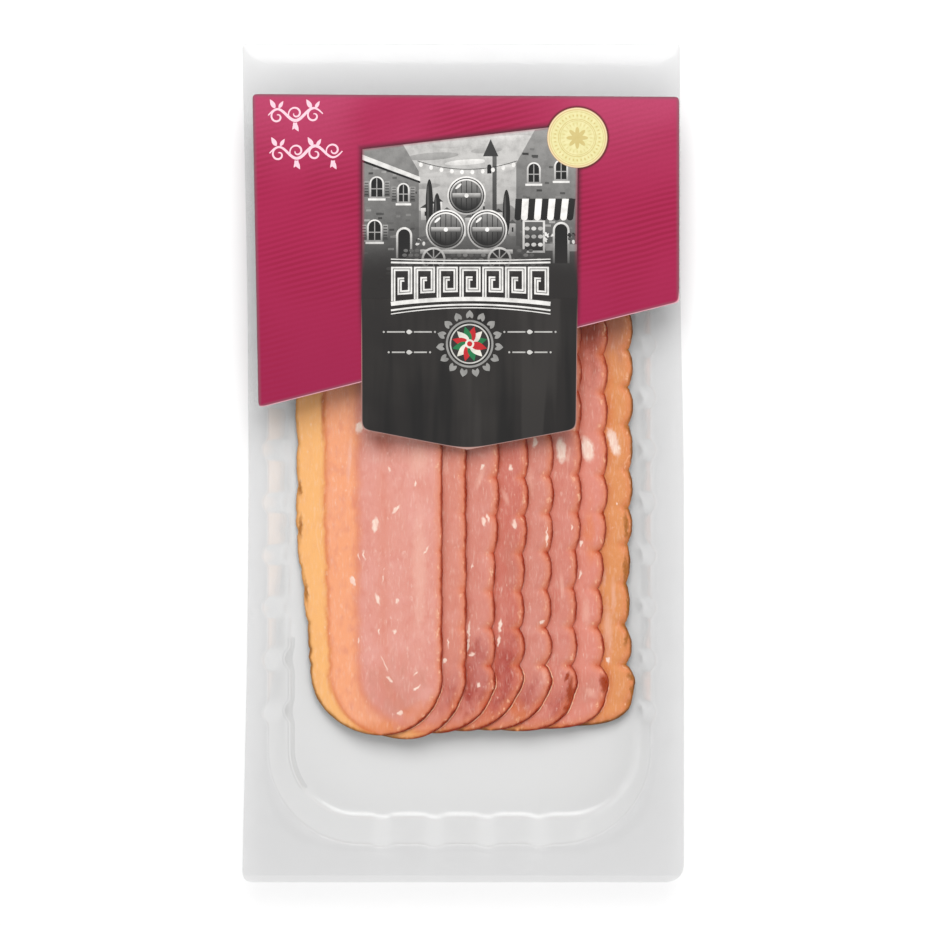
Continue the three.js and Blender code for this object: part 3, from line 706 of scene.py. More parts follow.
def beef_slice(k):
    """One slice: its mesh, and what its material needs to know at each point."""
    foot, head = SLICE_FOOT[k], SLICE_HEAD[k]
    rows = np.concatenate([foot + END_ROWS, np.arange(foot + 5.0, head - 4.8, ROW_STEP),
                           (head - END_ROWS)[::-1]])
    left, right = slice_edges(k, rows)
    squeeze = np.minimum(1, (right - left) / 2 / 4.4)[:, None]
    from_left = left[:, None] + RIM_COLUMNS * squeeze
    from_right = right[:, None] - RIM_COLUMNS[::-1] * squeeze
    share = np.linspace(0, 1, MIDDLE_COLUMNS + 2)[1:-1]
    middle = from_left[:, -1:] + (from_right[:, :1] - from_left[:, -1:]) * share
    grid = np.hstack([from_left, middle, from_right])
    x, y = grid.ravel(), np.repeat(rows, grid.shape[1])
    rim = np.maximum(0, depth_inside(k, x, y))
    crest = SLICE_RIGHT[k] - CREST * SLICE_WIDTH[k]
    right_side = smooth(x, crest - 6, crest + 6)
    from_nick = np.abs((nick_phase(k, y) + 0.5) % 1 - 0.5) * SCALLOP_PITCH
    nick = np.exp(-(from_nick / 1.5) ** 2) * np.minimum(1, SLICE_SCALLOP[k]) * right_side
    # The strip that shows is plump: it falls to the edge, and dips where the netting was.
    body = 1 - 0.46 * np.exp(-rim / 1.5) - 0.34 * np.exp(-rim / 0.10)
    swell = 0.26 * np.exp(-((rim - 2.4) / 1.8) ** 2) * right_side
    dip = 0.28 * nick * np.exp(-(rim / 2.2) ** 2)
    rest = resting_height(k, x, y)
    top = rest + SLICE_THICK * body + swell * (1 - nick) - dip
    low = np.minimum(rest + 0.08 * np.exp(-rim / 0.10), top - 0.05)
    count = grid.size
    index = np.arange(count).reshape(grid.shape)
    upper = np.stack([index[:-1, :-1], index[:-1, 1:], index[1:, 1:], index[1:, :-1]], -1)
    upper = upper.reshape(-1, 4)
    ring = np.concatenate([index[0, :-1], index[:-1, -1], index[-1, :0:-1], index[:0:-1, 0]])
    onward = np.roll(ring, -1)
    side = np.stack([ring, ring + count, onward + count, onward], 1)
    points = np.vstack([np.stack([x, y, top], 1), np.stack([x, y, low], 1)])
    skin = np.vstack([upper, upper[:, ::-1] + count, side])
    piece = moulded(f"beef_slice_{k + 1}", points, skin, [beef_material(k)])
    under, ghost = np.zeros(count), np.zeros(count)
    for below in range(k + 1, min(SLICES, k + 4)):
        inner = depth_inside(below, x, y)
        deeper = below - k - 1
        under += smooth(inner, -0.9 - 1.3 * deeper, 0.9 + 1.3 * deeper)
        ghost += np.exp(-(inner / (0.6 + 0.5 * deeper)) ** 2) * 0.5 ** deeper
    beside = np.zeros(count)
    if k:
        outside = -depth_inside(k - 1, x, y)
        beside = np.where(outside > 0, np.exp(-outside / 0.7), np.exp(outside / 0.3))
    # Painted shade: each scallop shades the next slice most at its upper part and least above
    # its foot, so its dark edge is painted strongest there.
    from_end = np.minimum(y - foot, head - y)
    open_part = 1 - smooth(nick_phase(k, y) % 1, 0.05, 0.36)
    shaded = 1 - 0.72 * min(1, SLICE_SCALLOP[k]) * open_part * smooth(from_end, 7, 13)
    shaded = right_side * shaded + (1 - right_side) * (0.30 + 0.5 * smooth(-y, 40, 54))
    for name, values in zip(SLICE_VALUES, (under, ghost, rim, right_side, nick, beside, shaded)):
        store(piece, name, np.tile(values, 2))
    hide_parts(f"slice_{k + 1}")


for k in range(SLICES):
    beef_slice(k)

# ---------------------------------------------------------------- juice
# A little juice stands along the lower right edge of each slice, where it lies on the
# next one. It draws up into a thin wet bead that catches the light; its pale colour is
# partly a painted highlight.

BEAD_RADIUS, BEAD_SIDES, BEAD_STEP, BEAD_OUT = 0.2, 7, 0.35, 0.22
BEAD_FROM_FOOT, BEAD_TO_FOOT = [1.0, 1.2, 2.0, 3.0, 3.4, 4.0, 4.2], [15, 13, 17, 19, 21, 14, 13]
PALE_JUICE_AND_HIGHLIGHT, JUICE_RED = ink(255, 200, 166), ink(240, 150, 112)


def bead(points):
    """Points and faces of a thin tube along points, drawn to a fine tip at both ends."""
    ahead = np.gradient(points, axis=0)
    ahead /= np.linalg.norm(ahead, axis=1)[:, None]
    across = np.stack([-ahead[:, 1], ahead[:, 0], np.zeros(len(points))], 1)
    across /= np.linalg.norm(across, axis=1)[:, None]
    up = np.cross(ahead, across)
    at = np.linspace(0, 1, len(points))
    size = BEAD_RADIUS * np.minimum(1, np.minimum(at, 1 - at) * 6 + 0.08)[:, None]
    turns = np.arange(BEAD_SIDES) * 2 * math.pi / BEAD_SIDES
    around = np.stack([points + size * (across * math.cos(t) + up * math.sin(t))
                       for t in turns], 1)
    return skin_of_rings(list(around), around[0].mean(0), around[-1].mean(0))


juice, start = new_material("beef_juice")
streaks = start.noise(start.place(), 900.0, 2.0)
start.coat(streaks.step(0.3, 0.7).tint(PALE_JUICE_AND_HIGHLIGHT, JUICE_RED), 0.15)
all_points, all_faces, used = [], [], 0
for k in range(SLICES - 1):
    y = SLICE_FOOT[k] + np.arange(BEAD_FROM_FOOT[k], BEAD_TO_FOOT[k], BEAD_STEP)
    x = slice_edges(k, y)[1]
    slope = np.gradient(x, y)
    outward = np.stack([np.ones_like(slope), -slope], 1) / np.sqrt(1 + slope ** 2)[:, None]
    x, y = x + outward[:, 0] * BEAD_OUT, y + outward[:, 1] * BEAD_OUT
    on_next = depth_inside(k + 1, x, y) > 0.2
    x, y = x[on_next], y[on_next]
    z = resting_height(k + 1, x, y) + SLICE_THICK + 0.02
    bead_points, bead_faces = bead(np.stack([x, y, z], 1))
    all_points.append(bead_points)
    all_faces += [tuple(i + used for i in face) for face in bead_faces]
    used += len(bead_points)
beads = moulded("juice_beads", np.vstack(all_points), all_faces, [juice])

# ---------------------------------------------------------------- lid film
# A clear film, heat sealed to the flange all round and trimmed short at the foot for
# peeling. It is drawn tight, with slow waves that catch the light.

FILM_TINT = (0.978, 0.978, 0.978, 1)


def redress(node, material):
    """Gives a solid whose shape is right its finish."""
    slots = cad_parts[node].data.materials
    slots.clear()
    slots.append(material)


redress("lid_film", clear_plastic("film_plastic", FILM_TINT, gloss_share=0.007, roughness=0.09,
                                  wave_height=0.10, wave_size=30))

# ---------------------------------------------------------------- label
# Coated paper stuck to the film: crimson, with fine slanted stripes and a slanting
# lower edge. A soft dark bloom is printed round the top of the shield.

LABEL_TOP = 14.35
LABEL_CORNERS = [[-60.1, 105.3], [-58.4, 15.7], [61.7, 45.9], [61.7, 104.5]]
SHIELD_CORNERS = [[-29.1, 89.9], [-28.9, 9.6], [1.2, 3.8], [32.3, 9.6], [33.2, 97.2]]
BLOOM_SIDES = [SHIELD_CORNERS[0], [-29.0, 30.0], [32.6, 30.0], SHIELD_CORNERS[4]]
SEAL_CENTRE, SEAL_RADIUS = (32.6, 92.8), 8.65
STRIPE_PITCH, STRIPE_SLOPE = 1.555, 14.1
CRIMSON_LOW, CRIMSON_HIGH, STRIPE = ink(150, 20, 68), ink(162, 22, 72), ink(148, 8, 58)
LIT_CRIMSON, DULL_CRIMSON = ink(184, 66, 104), ink(140, 20, 60)
WORN_EDGE, CUT_EDGE_AND_HIGHLIGHT = ink(118, 82, 92), ink(240, 178, 190)
BLOOM, SEAL_SHADOW = ink(70, 22, 38), ink(84, 26, 26)


def paper(name):
    """An empty material for paper or ink, and the place in mm: across, along and both."""
    material, start = new_material(name)
    in_mm = start.place_mm()
    across = start.node("SeparateXYZ", {}, {0: in_mm})
    return material, start, across, across.other(1), in_mm


def paper_relief(start, in_mm):
    """Relief of coated paper on film: slow ripples along the pack and a fine tooth."""
    drawn = start.vector("MULTIPLY", {0: in_mm, 1: (1.0, 0.3, 1.0)})
    return start.bump(start.noise(drawn, 0.085, 1.0) + start.noise(in_mm, 3.2, 3.0) * 0.0286, 0.35)


def from_sides(x, y, corners, round_off=0.01):
    """Distance in from the nearest side of a polygon that runs anticlockwise."""
    nearest = None
    for (ax, ay), (bx, by) in zip(corners, corners[1:] + corners[:1]):
        length = math.hypot(bx - ax, by - ay)
        nx, ny = -(by - ay) / length, (bx - ax) / length
        side = x * nx + y * ny - (ax * nx + ay * ny)
        nearest = side if nearest is None else nearest.sum("SMOOTH_MIN", nearest, side, round_off)
    return nearest


def round_seal(x, y):
    """Distance from the middle of the round seal."""
    return ((x - SEAL_CENTRE[0]) ** 2 + (y - SEAL_CENTRE[1]) ** 2) ** 0.5


crimson_paper, start, x, y, in_mm = paper("crimson_paper")
slope = math.radians(STRIPE_SLOPE)
wobble, patchy = start.noise(in_mm, 0.06, 1.0), start.noise(in_mm, 0.05, 1.0)
lightness, mottle = start.noise(in_mm, 0.022, 1.5), start.noise(in_mm, 1.4, 3.0)
phase = (y * math.cos(slope) - x * math.sin(slope) + wobble * 1.2) * (2 * math.pi / STRIPE_PITCH)
stripe = phase.sum("SINE", phase) * 0.5 + 0.5
showing = patchy.step(0.35, 0.65, 0.25, 1.0) * y.step(20, 70, 0.45, 1.0)
at_foot = y.step(50, 47) * x.step(-58.2, -57.4)
colour = layered(
    y.step(15, 70).tint(CRIMSON_LOW, CRIMSON_HIGH),
    (stripe.step(0.1, 0.9) * showing, STRIPE),
    (y.step(72, 110) * lightness.step(0.3, 0.6) * 0.8, LIT_CRIMSON),
    (mottle.step(0.3, 0.8) * 0.12, DULL_CRIMSON),
    (from_sides(x, y, LABEL_CORNERS).step(0.0, 1.2, 0.7, 0.0), WORN_EDGE),
    # The pale line along the slanting foot is the white of the cut paper, with a painted
    # highlight.
    (from_sides(x, y, LABEL_CORNERS, 2.4).step(0.05, 0.34, 0.8, 0.0) * at_foot, CUT_EDGE_AND_HIGHLIGHT),
    (from_sides(x, y, BLOOM_SIDES).step(-1.5, 0.3, 0.0, 0.7) * y.step(30, 50), BLOOM),
    (round_seal(x, y).step(SEAL_RADIUS + 0.15, SEAL_RADIUS + 0.8, 0.85, 0.0), SEAL_SHADOW))
start.coat(colour, mottle.step(0.2, 0.8, 0.40, 0.52), 0.2, paper_relief(start, in_mm))
redress("label", crimson_paper)

# ---------------------------------------------------------------- scroll on the label
# A vine scroll in pale ink in the label's upper left corner. Each stroke is a thin layer
# of ink on the paper, broad in the middle and fine at its ends.

INK_THICK, INK_REACH = 0.02, 0.09
PALE_PINK, WORN_PINK = ink(240, 200, 212), ink(220, 130, 156)
BLACK_WASH, FADED_BLACK, PICTURE_RIM = ink(24, 22, 21), ink(34, 31, 30), ink(150, 30, 70)


def swept(points, width, taper=False):
    """Outline of a stroke that follows a line, square at its ends or drawn to a point."""
    points = np.asarray(points, float)
    ahead = np.diff(points, axis=0)
    ahead /= np.linalg.norm(ahead, axis=1)[:, None]
    turn = np.vstack([ahead[:1], ahead[:-1] + ahead[1:], ahead[-1:]])
    turn /= np.linalg.norm(turn, axis=1)[:, None]
    side = np.stack([-turn[:, 1], turn[:, 0]], 1)
    mitre = np.concatenate([[1], 1 / np.maximum(0.5, (turn[1:-1] * ahead[1:]).sum(1)), [1]])
    reach = np.full(len(points), width / 2) * mitre
    if taper:
        reach *= 0.2 + 0.8 * np.sin(np.linspace(0.03, 0.97, len(points)) * math.pi) ** 0.7
    return np.vstack([points + side * reach[:, None], (points - side * reach[:, None])[::-1]])


def oval(x, y, width, height, tilt=0.0, count=28):
    """Outline of an ellipse."""
    t = np.arange(count) * 2 * math.pi / count
    c, s = math.cos(math.radians(tilt)), math.sin(math.radians(tilt))
    across, along = np.cos(t) * width / 2, np.sin(t) * height / 2
    return np.stack([x + across * c - along * s, y + across * s + along * c], 1)


def leaf(x, y, length, width, tilt):
    """Outline of a leaf that starts at x, y and points along tilt."""
    t = np.linspace(0, 1, 9)
    swell = np.sin(math.pi * t ** 0.8) * width / 2
    c, s = math.cos(math.radians(tilt)), math.sin(math.radians(tilt))
    run = np.concatenate([t, t[-2:0:-1]]) * length
    off = np.concatenate([swell, -swell[-2:0:-1]])
    return np.stack([x + run * c - off * s, y + run * s + off * c], 1)


def printed(name, shapes, base, material):
    """Layers of ink as one piece: each shape lies over the earlier ones that it meets."""
    low, high = (np.array([reach(outline, 0) for outline, _ in shapes])
                 for reach in (np.min, np.max))
    layers = []
    for i in range(len(shapes)):
        met = np.flatnonzero(((low[:i] < high[i]) & (low[i] < high[:i])).all(1))
        layers.append(1 + max((layers[j] for j in met), default=-1))
    step = min(0.004, (INK_REACH - INK_THICK) / max(1, *layers))
    points, faces, colours = [], [], []
    for (outline, colour), layer in zip(shapes, layers):
        n, first, top = len(outline), len(points), base + INK_THICK + layer * step
        area = sum(a[0] * b[1] - b[0] * a[1] for a, b in zip(outline, np.roll(outline, -1, 0)))
        colour = np.broadcast_to(colour, (n, 4))
        if area < 0:
            outline, colour = outline[::-1], colour[::-1]
        points += [(px, py, z) for z in (top, base - 0.02) for px, py in outline]
        colours += [*colour, *colour]
        upper, lower = range(first, first + n), range(first + n, first + 2 * n)
        faces += [tuple(upper), tuple(lower[::-1])]
        faces += [(upper[i - 1], lower[i - 1], lower[i], upper[i]) for i in (*range(1, n), 0)]
    piece = moulded(name, points, faces, [material], smooth_shaded=False)
    stored = piece.data.attributes.new("ink", "FLOAT_COLOR", "POINT")
    stored.data.foreach_set("color", np.array(colours, np.float32).ravel())
    return piece


def ink_material(name, fade=None, sides=None):
    """Printing ink: its own colour, uneven where it wetted the paper; fading out downwards
    and into the crimson at the sides where it is a picture."""
    material, start, x, y, in_mm = paper(name)
    wash, tooth = start.noise(in_mm, 0.35, 4.0, 0.6), start.noise(in_mm, 4.0, 2.0)
    uneven = wash.step(0.35, 0.75) * 0.26 + tooth.step(0.4, 0.9) * 0.16
    colour = uneven.tint(start.attribute("ink", "Color"), BLACK_WASH)
    if fade:
        rim = from_sides(x, y, sides).step(0.0, 1.3, 0.75, 0.0) * y.step(*fade)
        colour = layered(colour, (y.step(*fade, 1.0, 0.0), FADED_BLACK), (rim, PICTURE_RIM))
    start.coat(colour, tooth.step(0.2, 0.8, 0.37, 0.50), 0.25, paper_relief(start, in_mm))
    return material


def curl(x, y, radius, start_turn, turns, count=26):
    """A spiral that winds in to its end."""
    t = np.linspace(0, 1, count)
    angle = np.radians(start_turn) + t * turns * 2 * math.pi
    r = radius * (1 - 0.78 * t)
    return np.stack([x + r * np.cos(angle), y + r * np.sin(angle)], 1)


scroll_ink, start, _, _, in_mm = paper("scroll_ink")
worn = start.noise(in_mm, 1.8, 3.0).step(0.45, 0.8) * 0.25
start.coat(worn.tint(start.attribute("ink", "Color"), WORN_PINK), 0.5,
           normal=paper_relief(start, in_mm))
strokes = []
for left, middle_y, waves in ((-55.6, 99.2, 3), (-55.2, 88.4, 4)):
    run = np.linspace(0, waves * 5.2, waves * 14)
    stem = np.stack([left + run, middle_y + 1.7 * np.sin(run * math.pi / 5.2) + run * 0.03], 1)
    strokes.append(swept(stem, 0.85, taper=True))
    for i in range(waves):
        rising = 1 if i % 2 == 0 else -1
        cx, cy = left + 2.6 + i * 5.2, middle_y - rising * 0.4 + i * 0.15
        strokes.append(swept(curl(cx, cy, 2.2, 90 * rising - 40, 1.15 * rising), 0.55, taper=True))
        strokes.append(leaf(cx - 0.6, middle_y + rising * 2.0, 3.0, 1.3, 90 * rising + 30))
        strokes.append(leaf(cx + 0.4, middle_y + rising * 2.0, 2.5, 1.0, 90 * rising - 32))
scroll = printed("vine_scroll", [(stroke, PALE_PINK) for stroke in strokes], LABEL_TOP, scroll_ink)

# ---------------------------------------------------------------- shield panel
# A second, black layer of coated paper, laid over the label and pointed at the foot,
# where it hangs below it. Its cut edge shows the white of the paper, with a painted
# highlight along its lower part.

SHIELD_TOP = 14.5
PICTURE_SIDES = [SHIELD_CORNERS[0], [-29.0, 46.0], [32.6, 46.0], SHIELD_CORNERS[4]]
BLACK, WORN_BLACK, DARK_FILM_REFLECTION, PALE_FILM_REFLECTION = (
    ink(30, 27, 26), ink(40, 37, 35), ink(14, 13, 13), ink(52, 49, 47))
PINK_CUT_AND_HIGHLIGHT, CRIMSON_RIM, SEAL_SHADOW_ON_BLACK = ink(206, 160, 150), ink(104, 20, 48), ink(50, 22, 18)

black_paper, start, x, y, in_mm = paper("black_paper")
cloud = start.noise(in_mm, 0.05, 2.0)
streaks = start.noise(start.vector("MULTIPLY", {0: in_mm, 1: (0.16, 0.014, 1.0)}), 1.0, 2.0)
colour = layered(
    BLACK,
    (cloud.step(0.35, 0.7), WORN_BLACK),
    # Painted reflection: soft upright bands, darker and paler, of the film's ripples.
    (streaks.step(0.50, 0.66, 0.0, 0.8), DARK_FILM_REFLECTION),
    (streaks.step(0.34, 0.46, 0.6, 0.0), PALE_FILM_REFLECTION),
    # The white of the cut edge, with a painted highlight, along the shield's lower sides.
    (from_sides(x, y, SHIELD_CORNERS, 3.4).step(0.02, 0.26, 0.7, 0.0) * y.step(50, 30), PINK_CUT_AND_HIGHLIGHT),
    (from_sides(x, y, PICTURE_SIDES).step(0.0, 1.1, 0.75, 0.0) * y.step(46, 56), CRIMSON_RIM),
    # Painted shadow: a dark ring round the raised seal.
    (round_seal(x, y).step(SEAL_RADIUS + 0.1, SEAL_RADIUS + 0.8, 0.85, 0.0), SEAL_SHADOW_ON_BLACK))
start.coat(colour, 0.42, 0.25, paper_relief(start, in_mm))
redress("shield_panel", black_paper)

# ---------------------------------------------------------------- picture on the shield
# A grey print of a street in a hill town: houses, a far tower, casks and a striped
# awning. It is laid on in layers of ink, and fades into the black towards its foot.

PICTURE_FRAME = np.array([[-28.7, 47.0], [32.4, 47.0], [32.8, 96.7], [-28.7, 89.5]])
PICTURE_FADE = (52.0, 68.0)


def grey(level):
    """Printing ink of a given lightness, from 0 to 255, with the picture's contrast."""
    level = min(246, max(16, 106 + 1.35 * (level - 106)))
    return ink(level, level * 0.99, level * 0.975)


def clipped(outline, corners):
    """The part of an outline inside a convex polygon that runs anticlockwise."""
    for a, b in zip(corners, np.roll(corners, -1, 0)):
        kept = []
        side = [(b[0] - a[0]) * (p[1] - a[1]) - (b[1] - a[1]) * (p[0] - a[0]) for p in outline]
        for i in range(len(outline)):
            here, there, s, t = outline[i - 1], outline[i], side[i - 1], side[i]
            if (s > 0) != (t > 0):
                kept.append(here + (there - here) * (s / (s - t)))
            if t > 0:
                kept.append(there)
        outline = kept
        if len(outline) < 3:
            return None
    return np.array(outline)


picture = []


def draw(outline, level, shading=0.0):
    """Prints a shape, lighter towards its top by a share given as shading."""
    kept = clipped(np.asarray(outline, float), PICTURE_FRAME)
    if kept is not None:
        low, high = kept[:, 1].min(), kept[:, 1].max()
        tones = level * (1 + shading * (2 * (kept[:, 1] - low) / max(0.1, high - low) - 1))
        picture.append((kept, np.array([grey(min(250, tone)) for tone in tones])))


def block(x0, y0, x1, y1, level, slant=0.0, shading=0.0):
    """A straight-sided block whose right end is lifted by slant."""
    draw([(x0, y0), (x1, y0 + slant), (x1, y1 + slant), (x0, y1)], level, shading)


def arch(x, y, width, height, level, shading=0.0):
    """A round-headed opening that stands on x, y."""
    t = np.linspace(0, math.pi, 12)
    head = np.stack([x + width / 2 * np.cos(t), y + height + width / 2 * np.sin(t)], 1)
    draw(np.vstack([[(x - width / 2, y), (x + width / 2, y)], head]), level, shading)


def window(x, y, width, height, shutters):
    """A window: a light surround and sill, dark panes with glazing bars, and shutters."""
    arch(x, y - 0.5, width + 1.0, height + 0.4, 176, 0.2)
    arch(x, y, width, height, 24, 0.5)
    block(x - width / 2, y + height * 0.55, x + width / 2, y + height * 0.55 + 0.3, 150)
    block(x - 0.14, y, x + 0.14, y + height + width * 0.45, 150)
    block(x - width / 2 - 0.9, y - 1.1, x + width / 2 + 0.9, y - 0.5, 204)
    if shutters:
        for side in (-1, 1):
            near, far = x + side * (width / 2 + 0.6), x + side * (width / 2 + 2.1)
            block(min(near, far), y, max(near, far), y + height + 0.6, 112, 0.0, 0.3)
            for slat in np.arange(y + 0.5, y + height + 0.2, 0.8):
                block(min(near, far) + 0.2, slat, max(near, far) - 0.2, slat + 0.25, 56)


def stonework(x0, x1, y0, y1, count, tilt):
    """Single stones that stand out from a rendered wall."""
    for _ in range(count):
        bx, by = sketch.uniform(x0, x1), sketch.uniform(y0, y1)
        block(bx, by, bx + sketch.uniform(0.9, 2.0), by + 0.6, sketch.uniform(64, 150), tilt)


sketch = np.random.default_rng(5)
draw(PICTURE_FRAME, 158, 0.12)
for i in range(9):
    draw(oval(-11 + 25 * ((i * 0.618) % 1), 79 + i * 1.7, 9 + 3 * (i % 3), 1.6 + 0.5 * (i % 2), 4),
         146 + 12 * (i % 5), 0.05)
# Far hills and the town on them.
ridge = np.linspace(-16, 18, 18)
hills = 73 + 2.2 * np.sin(ridge / 4) + 1.2 * np.sin(ridge / 1.7)
draw(np.vstack([np.stack([ridge, hills], 1), [(18, 55), (-16, 55)]]), 104, 0.3)
for i in range(13):
    hx, hy, hw = -12 + i * 2.1, 68 + 3.4 * math.sin(i * 0.9 + 0.4), sketch.uniform(1.8, 2.8)
    hh = sketch.uniform(2.0, 3.8)
    block(hx, hy, hx + hw, hy + hh, sketch.uniform(130, 196), 0.0, 0.15)
    draw([(hx - 0.3, hy + hh), (hx + hw + 0.3, hy + hh), (hx + hw / 2, hy + hh + 1.1)],
         sketch.uniform(58, 90))
    block(hx + hw * 0.4, hy + hh * 0.35, hx + hw * 0.65, hy + hh * 0.7, 40)
block(6.2, 70, 9.6, 87.5, 150, 0.0, 0.2)
block(8.4, 70, 9.6, 87.5, 80, 0.0, 0.2)
arch(7.5, 82.6, 1.2, 2.0, 28)
draw([(5.7, 87.5), (10.1, 87.5), (7.9, 92.4)], 66)
for cx, cy, height in ((-9.6, 66, 15), (-7.4, 66, 11), (12.4, 65, 13), (3.6, 68, 8)):
    draw(oval(cx, cy + height / 2, 2.1, height), 36, 0.4)
    draw(oval(cx - 0.4, cy + height / 2 + 0.6, 0.6, height * 0.7), 84)
# The house on the left, its windows with shutters, and its door.
draw([(-29, 46), (-12.6, 57), (-12.6, 83.2), (-17.5, 91.5), (-29, 90)], 92, 0.45)
stonework(-28.2, -14.8, 58, 84, 46, 0.04)
draw([(-29, 86.6), (-12.2, 80.4), (-12.2, 81.6), (-29, 88.1)], 196)
draw([(-29, 85.9), (-12.2, 79.8), (-12.2, 80.4), (-29, 86.6)], 34)
window(-24.6, 76.0, 3.2, 3.8, True)
window(-17.0, 74.6, 2.6, 3.6, True)
window(-25.2, 63.6, 3.4, 3.8, True)
arch(-16.8, 56.0, 4.6, 9.0, 170, 0.2)
arch(-16.8, 56.0, 3.4, 9.0, 24, 0.4)
# The shop on the right, with its awning, its lit window and pots by the door.
draw([(34, 46), (34, 97), (20.5, 95), (15.2, 85.6), (15.2, 57)], 98, 0.45)
stonework(16.0, 31.0, 60, 90, 40, -0.04)
window(20.2, 80.2, 3.0, 3.7, False)
window(28.0, 81.0, 3.0, 3.7, False)
block(17.0, 60.0, 23.4, 69.2, 190)
block(17.6, 60.6, 22.8, 68.8, 70, 0.0, 0.4)
for i in range(9):
    draw(oval(18.3 + (i % 3) * 1.9, 62.3 + (i // 3) * 2.3, 1.4, 1.1), sketch.uniform(150, 224))
arch(28.0, 57.0, 4.8, 9.4, 166, 0.2)
arch(28.0, 57.0, 3.6, 9.4, 26, 0.4)
for i in range(9):
    a, b = 15.0 + i * 1.9, 15.0 + (i + 1) * 1.9
    tone = 226 if i % 2 else 46
    draw([(a * 0.98, 70.0), (b * 0.98, 70.0), (b, 75.4), (a, 75.4)], tone, 0.08)
    draw(oval((a + b) / 2 * 0.98, 70.0, 1.8, 1.6), tone * 0.9)
for px, py in ((24.6, 60.6), (31.4, 60.4), (-11.6, 59.8)):
    draw([(px - 1.0, py), (px + 1.0, py), (px + 1.3, py + 2.0), (px - 1.3, py + 2.0)], 150)
    for j in range(9):
        draw(oval(px + sketch.uniform(-1.6, 1.6), py + 2.6 + sketch.uniform(0, 2.2), 1.2, 0.8,
                  sketch.uniform(0, 180)), sketch.choice([52, 92, 206]))
# Paving, then three casks stacked on a cart.
draw([(-29, 46), (34, 46), (16, 62), (-12.8, 62)], 76, 0.3)
for row in range(11):
    for i in range(26):
        cx = 1.5 + (i - 13 + 0.5 * (row % 2)) * (3.0 - row * 0.12) * 0.9
        if abs(cx - 1.6) < 30 - row * 1.2:
            draw(oval(cx, 47.6 + row * 1.3, 2.3 - row * 0.1, 0.95), sketch.uniform(84, 156))
for cx, cy, radius in ((-4.9, 66.6, 5.7), (6.9, 66.6, 5.7), (1.0, 76.3, 5.5)):
    for size, tone, shading in ((0, 196, 0.2), (0.9, 32, 0.0), (1.5, 150, 0.45), (2.3, 84, 0.6)):
        draw(oval(cx, cy, 2 * radius - size, 2 * radius - size, count=40), tone, shading)
    for i in range(-2, 3):
        half_run = math.sqrt(max(0.1, (radius - 1.2) ** 2 - (i * 1.5) ** 2))
        block(cx + i * 1.5 - 0.1, cy - half_run, cx + i * 1.5 + 0.1, cy + half_run, 34)
    block(cx - radius + 1.5, cy - 0.7, cx + radius - 1.5, cy + 0.7, 128, 0.0, 0.4)
    draw(oval(cx, cy, 1.2, 1.2), 216)
    draw(oval(cx - radius * 0.42, cy + radius * 0.48, 2.2, 0.7, 42), 214)
block(-12.2, 59.7, 14.2, 60.9, 190, 0.0, 0.2)
for cx in (-8.4, 10.4):
    draw(oval(cx, 58.2, 6.8, 6.8, count=36), 200, 0.2)
    draw(oval(cx, 58.2, 5.6, 5.6, count=36), 44)
    for i in range(8):
        t = i * math.pi / 4
        draw(swept([(cx, 58.2), (cx + 2.9 * math.cos(t), 58.2 + 2.9 * math.sin(t))], 0.34), 180)
# A string of lamps hangs across the street.
span = np.linspace(-13.0, 15.4, 30)
sag = 86.2 - 2.4 * (1 - ((span - 1.2) / 14.2) ** 2)
draw(swept(np.stack([span, sag], 1), 0.16), 36)
for i in range(1, 29, 3):
    draw(oval(span[i], sag[i] - 0.8, 1.1, 1.3), 246)

street = printed("street_picture", picture, SHIELD_TOP,
                 ink_material("grey_ink", PICTURE_FADE, PICTURE_SIDES))

# ---------------------------------------------------------------- key border
# A band of Greek key in white ink with a dark line inside it, bowed upwards, between
# two thin rules. It crosses the foot of the picture.

KEY_CENTRE, KEY_BOTTOM, KEY_HEIGHT = 2.2, 45.4, 8.6
KEY_CELLS, KEY_CELL, KEY_BOW = 7, 6.5, 1.4
KEY_STROKE, KEY_LINE, RULE_STROKE, THIN_RULE = 1.2, 0.24, 0.5, 0.28
KEY_TURNS = ((0.1, 0.07), (0.1, 1), (0.84, 1), (0.84, 0.3), (0.38, 0.3), (0.38, 0.68),
             (0.58, 0.68))         # as shares of a cell
WHITE_INK = ink(236, 234, 230)


def bowed(points, dense=6):
    """Carries points of the flat band onto its bow, with more points along it."""
    points = np.asarray(points, float)
    filled = [points[:1]]
    for a, b in zip(points[:-1], points[1:]):
        filled.append(a + (b - a) * np.linspace(0, 1, dense + 1)[1:, None])
    flat = np.vstack(filled)
    reach = KEY_CELLS * KEY_CELL / 2
    bow = KEY_BOW * (1 - (flat[:, 0] / reach) ** 2)
    tall = 1 + 0.16 * (flat[:, 0] / reach) ** 2
    return np.stack([flat[:, 0] + KEY_CENTRE, KEY_BOTTOM + bow + flat[:, 1] * tall], 1)


def hook(cell):
    """One turn of the key: up, over, down and in."""
    left = (cell - KEY_CELLS / 2) * KEY_CELL
    return bowed([(left + u * KEY_CELL, v * KEY_HEIGHT) for u, v in KEY_TURNS], 2)


edge = KEY_CELLS * KEY_CELL / 2
band = [(swept(bowed([(-edge, 0), (edge, 0)], 30), KEY_STROKE), WHITE_INK)]
band += [(swept(hook(cell), KEY_STROKE), WHITE_INK) for cell in range(KEY_CELLS)]
band += [(swept(hook(cell), KEY_LINE), grey(96)) for cell in range(KEY_CELLS)]
for height, width in ((-1.6, RULE_STROKE), (KEY_HEIGHT + 1.6, RULE_STROKE),
                      (-2.5, THIN_RULE), (KEY_HEIGHT + 2.4, THIN_RULE)):
    band.append((swept(bowed([(-edge, height), (edge, height)], 30), width), WHITE_INK))
key = printed("key_border", band, SHIELD_TOP + INK_REACH, ink_material("white_ink"))

# ---------------------------------------------------------------- rosette and rules
# Under the key border a rosette of green, cream and red petals sits in a grey beaded
# ring. Thin rules with diamonds stand on either side of it.

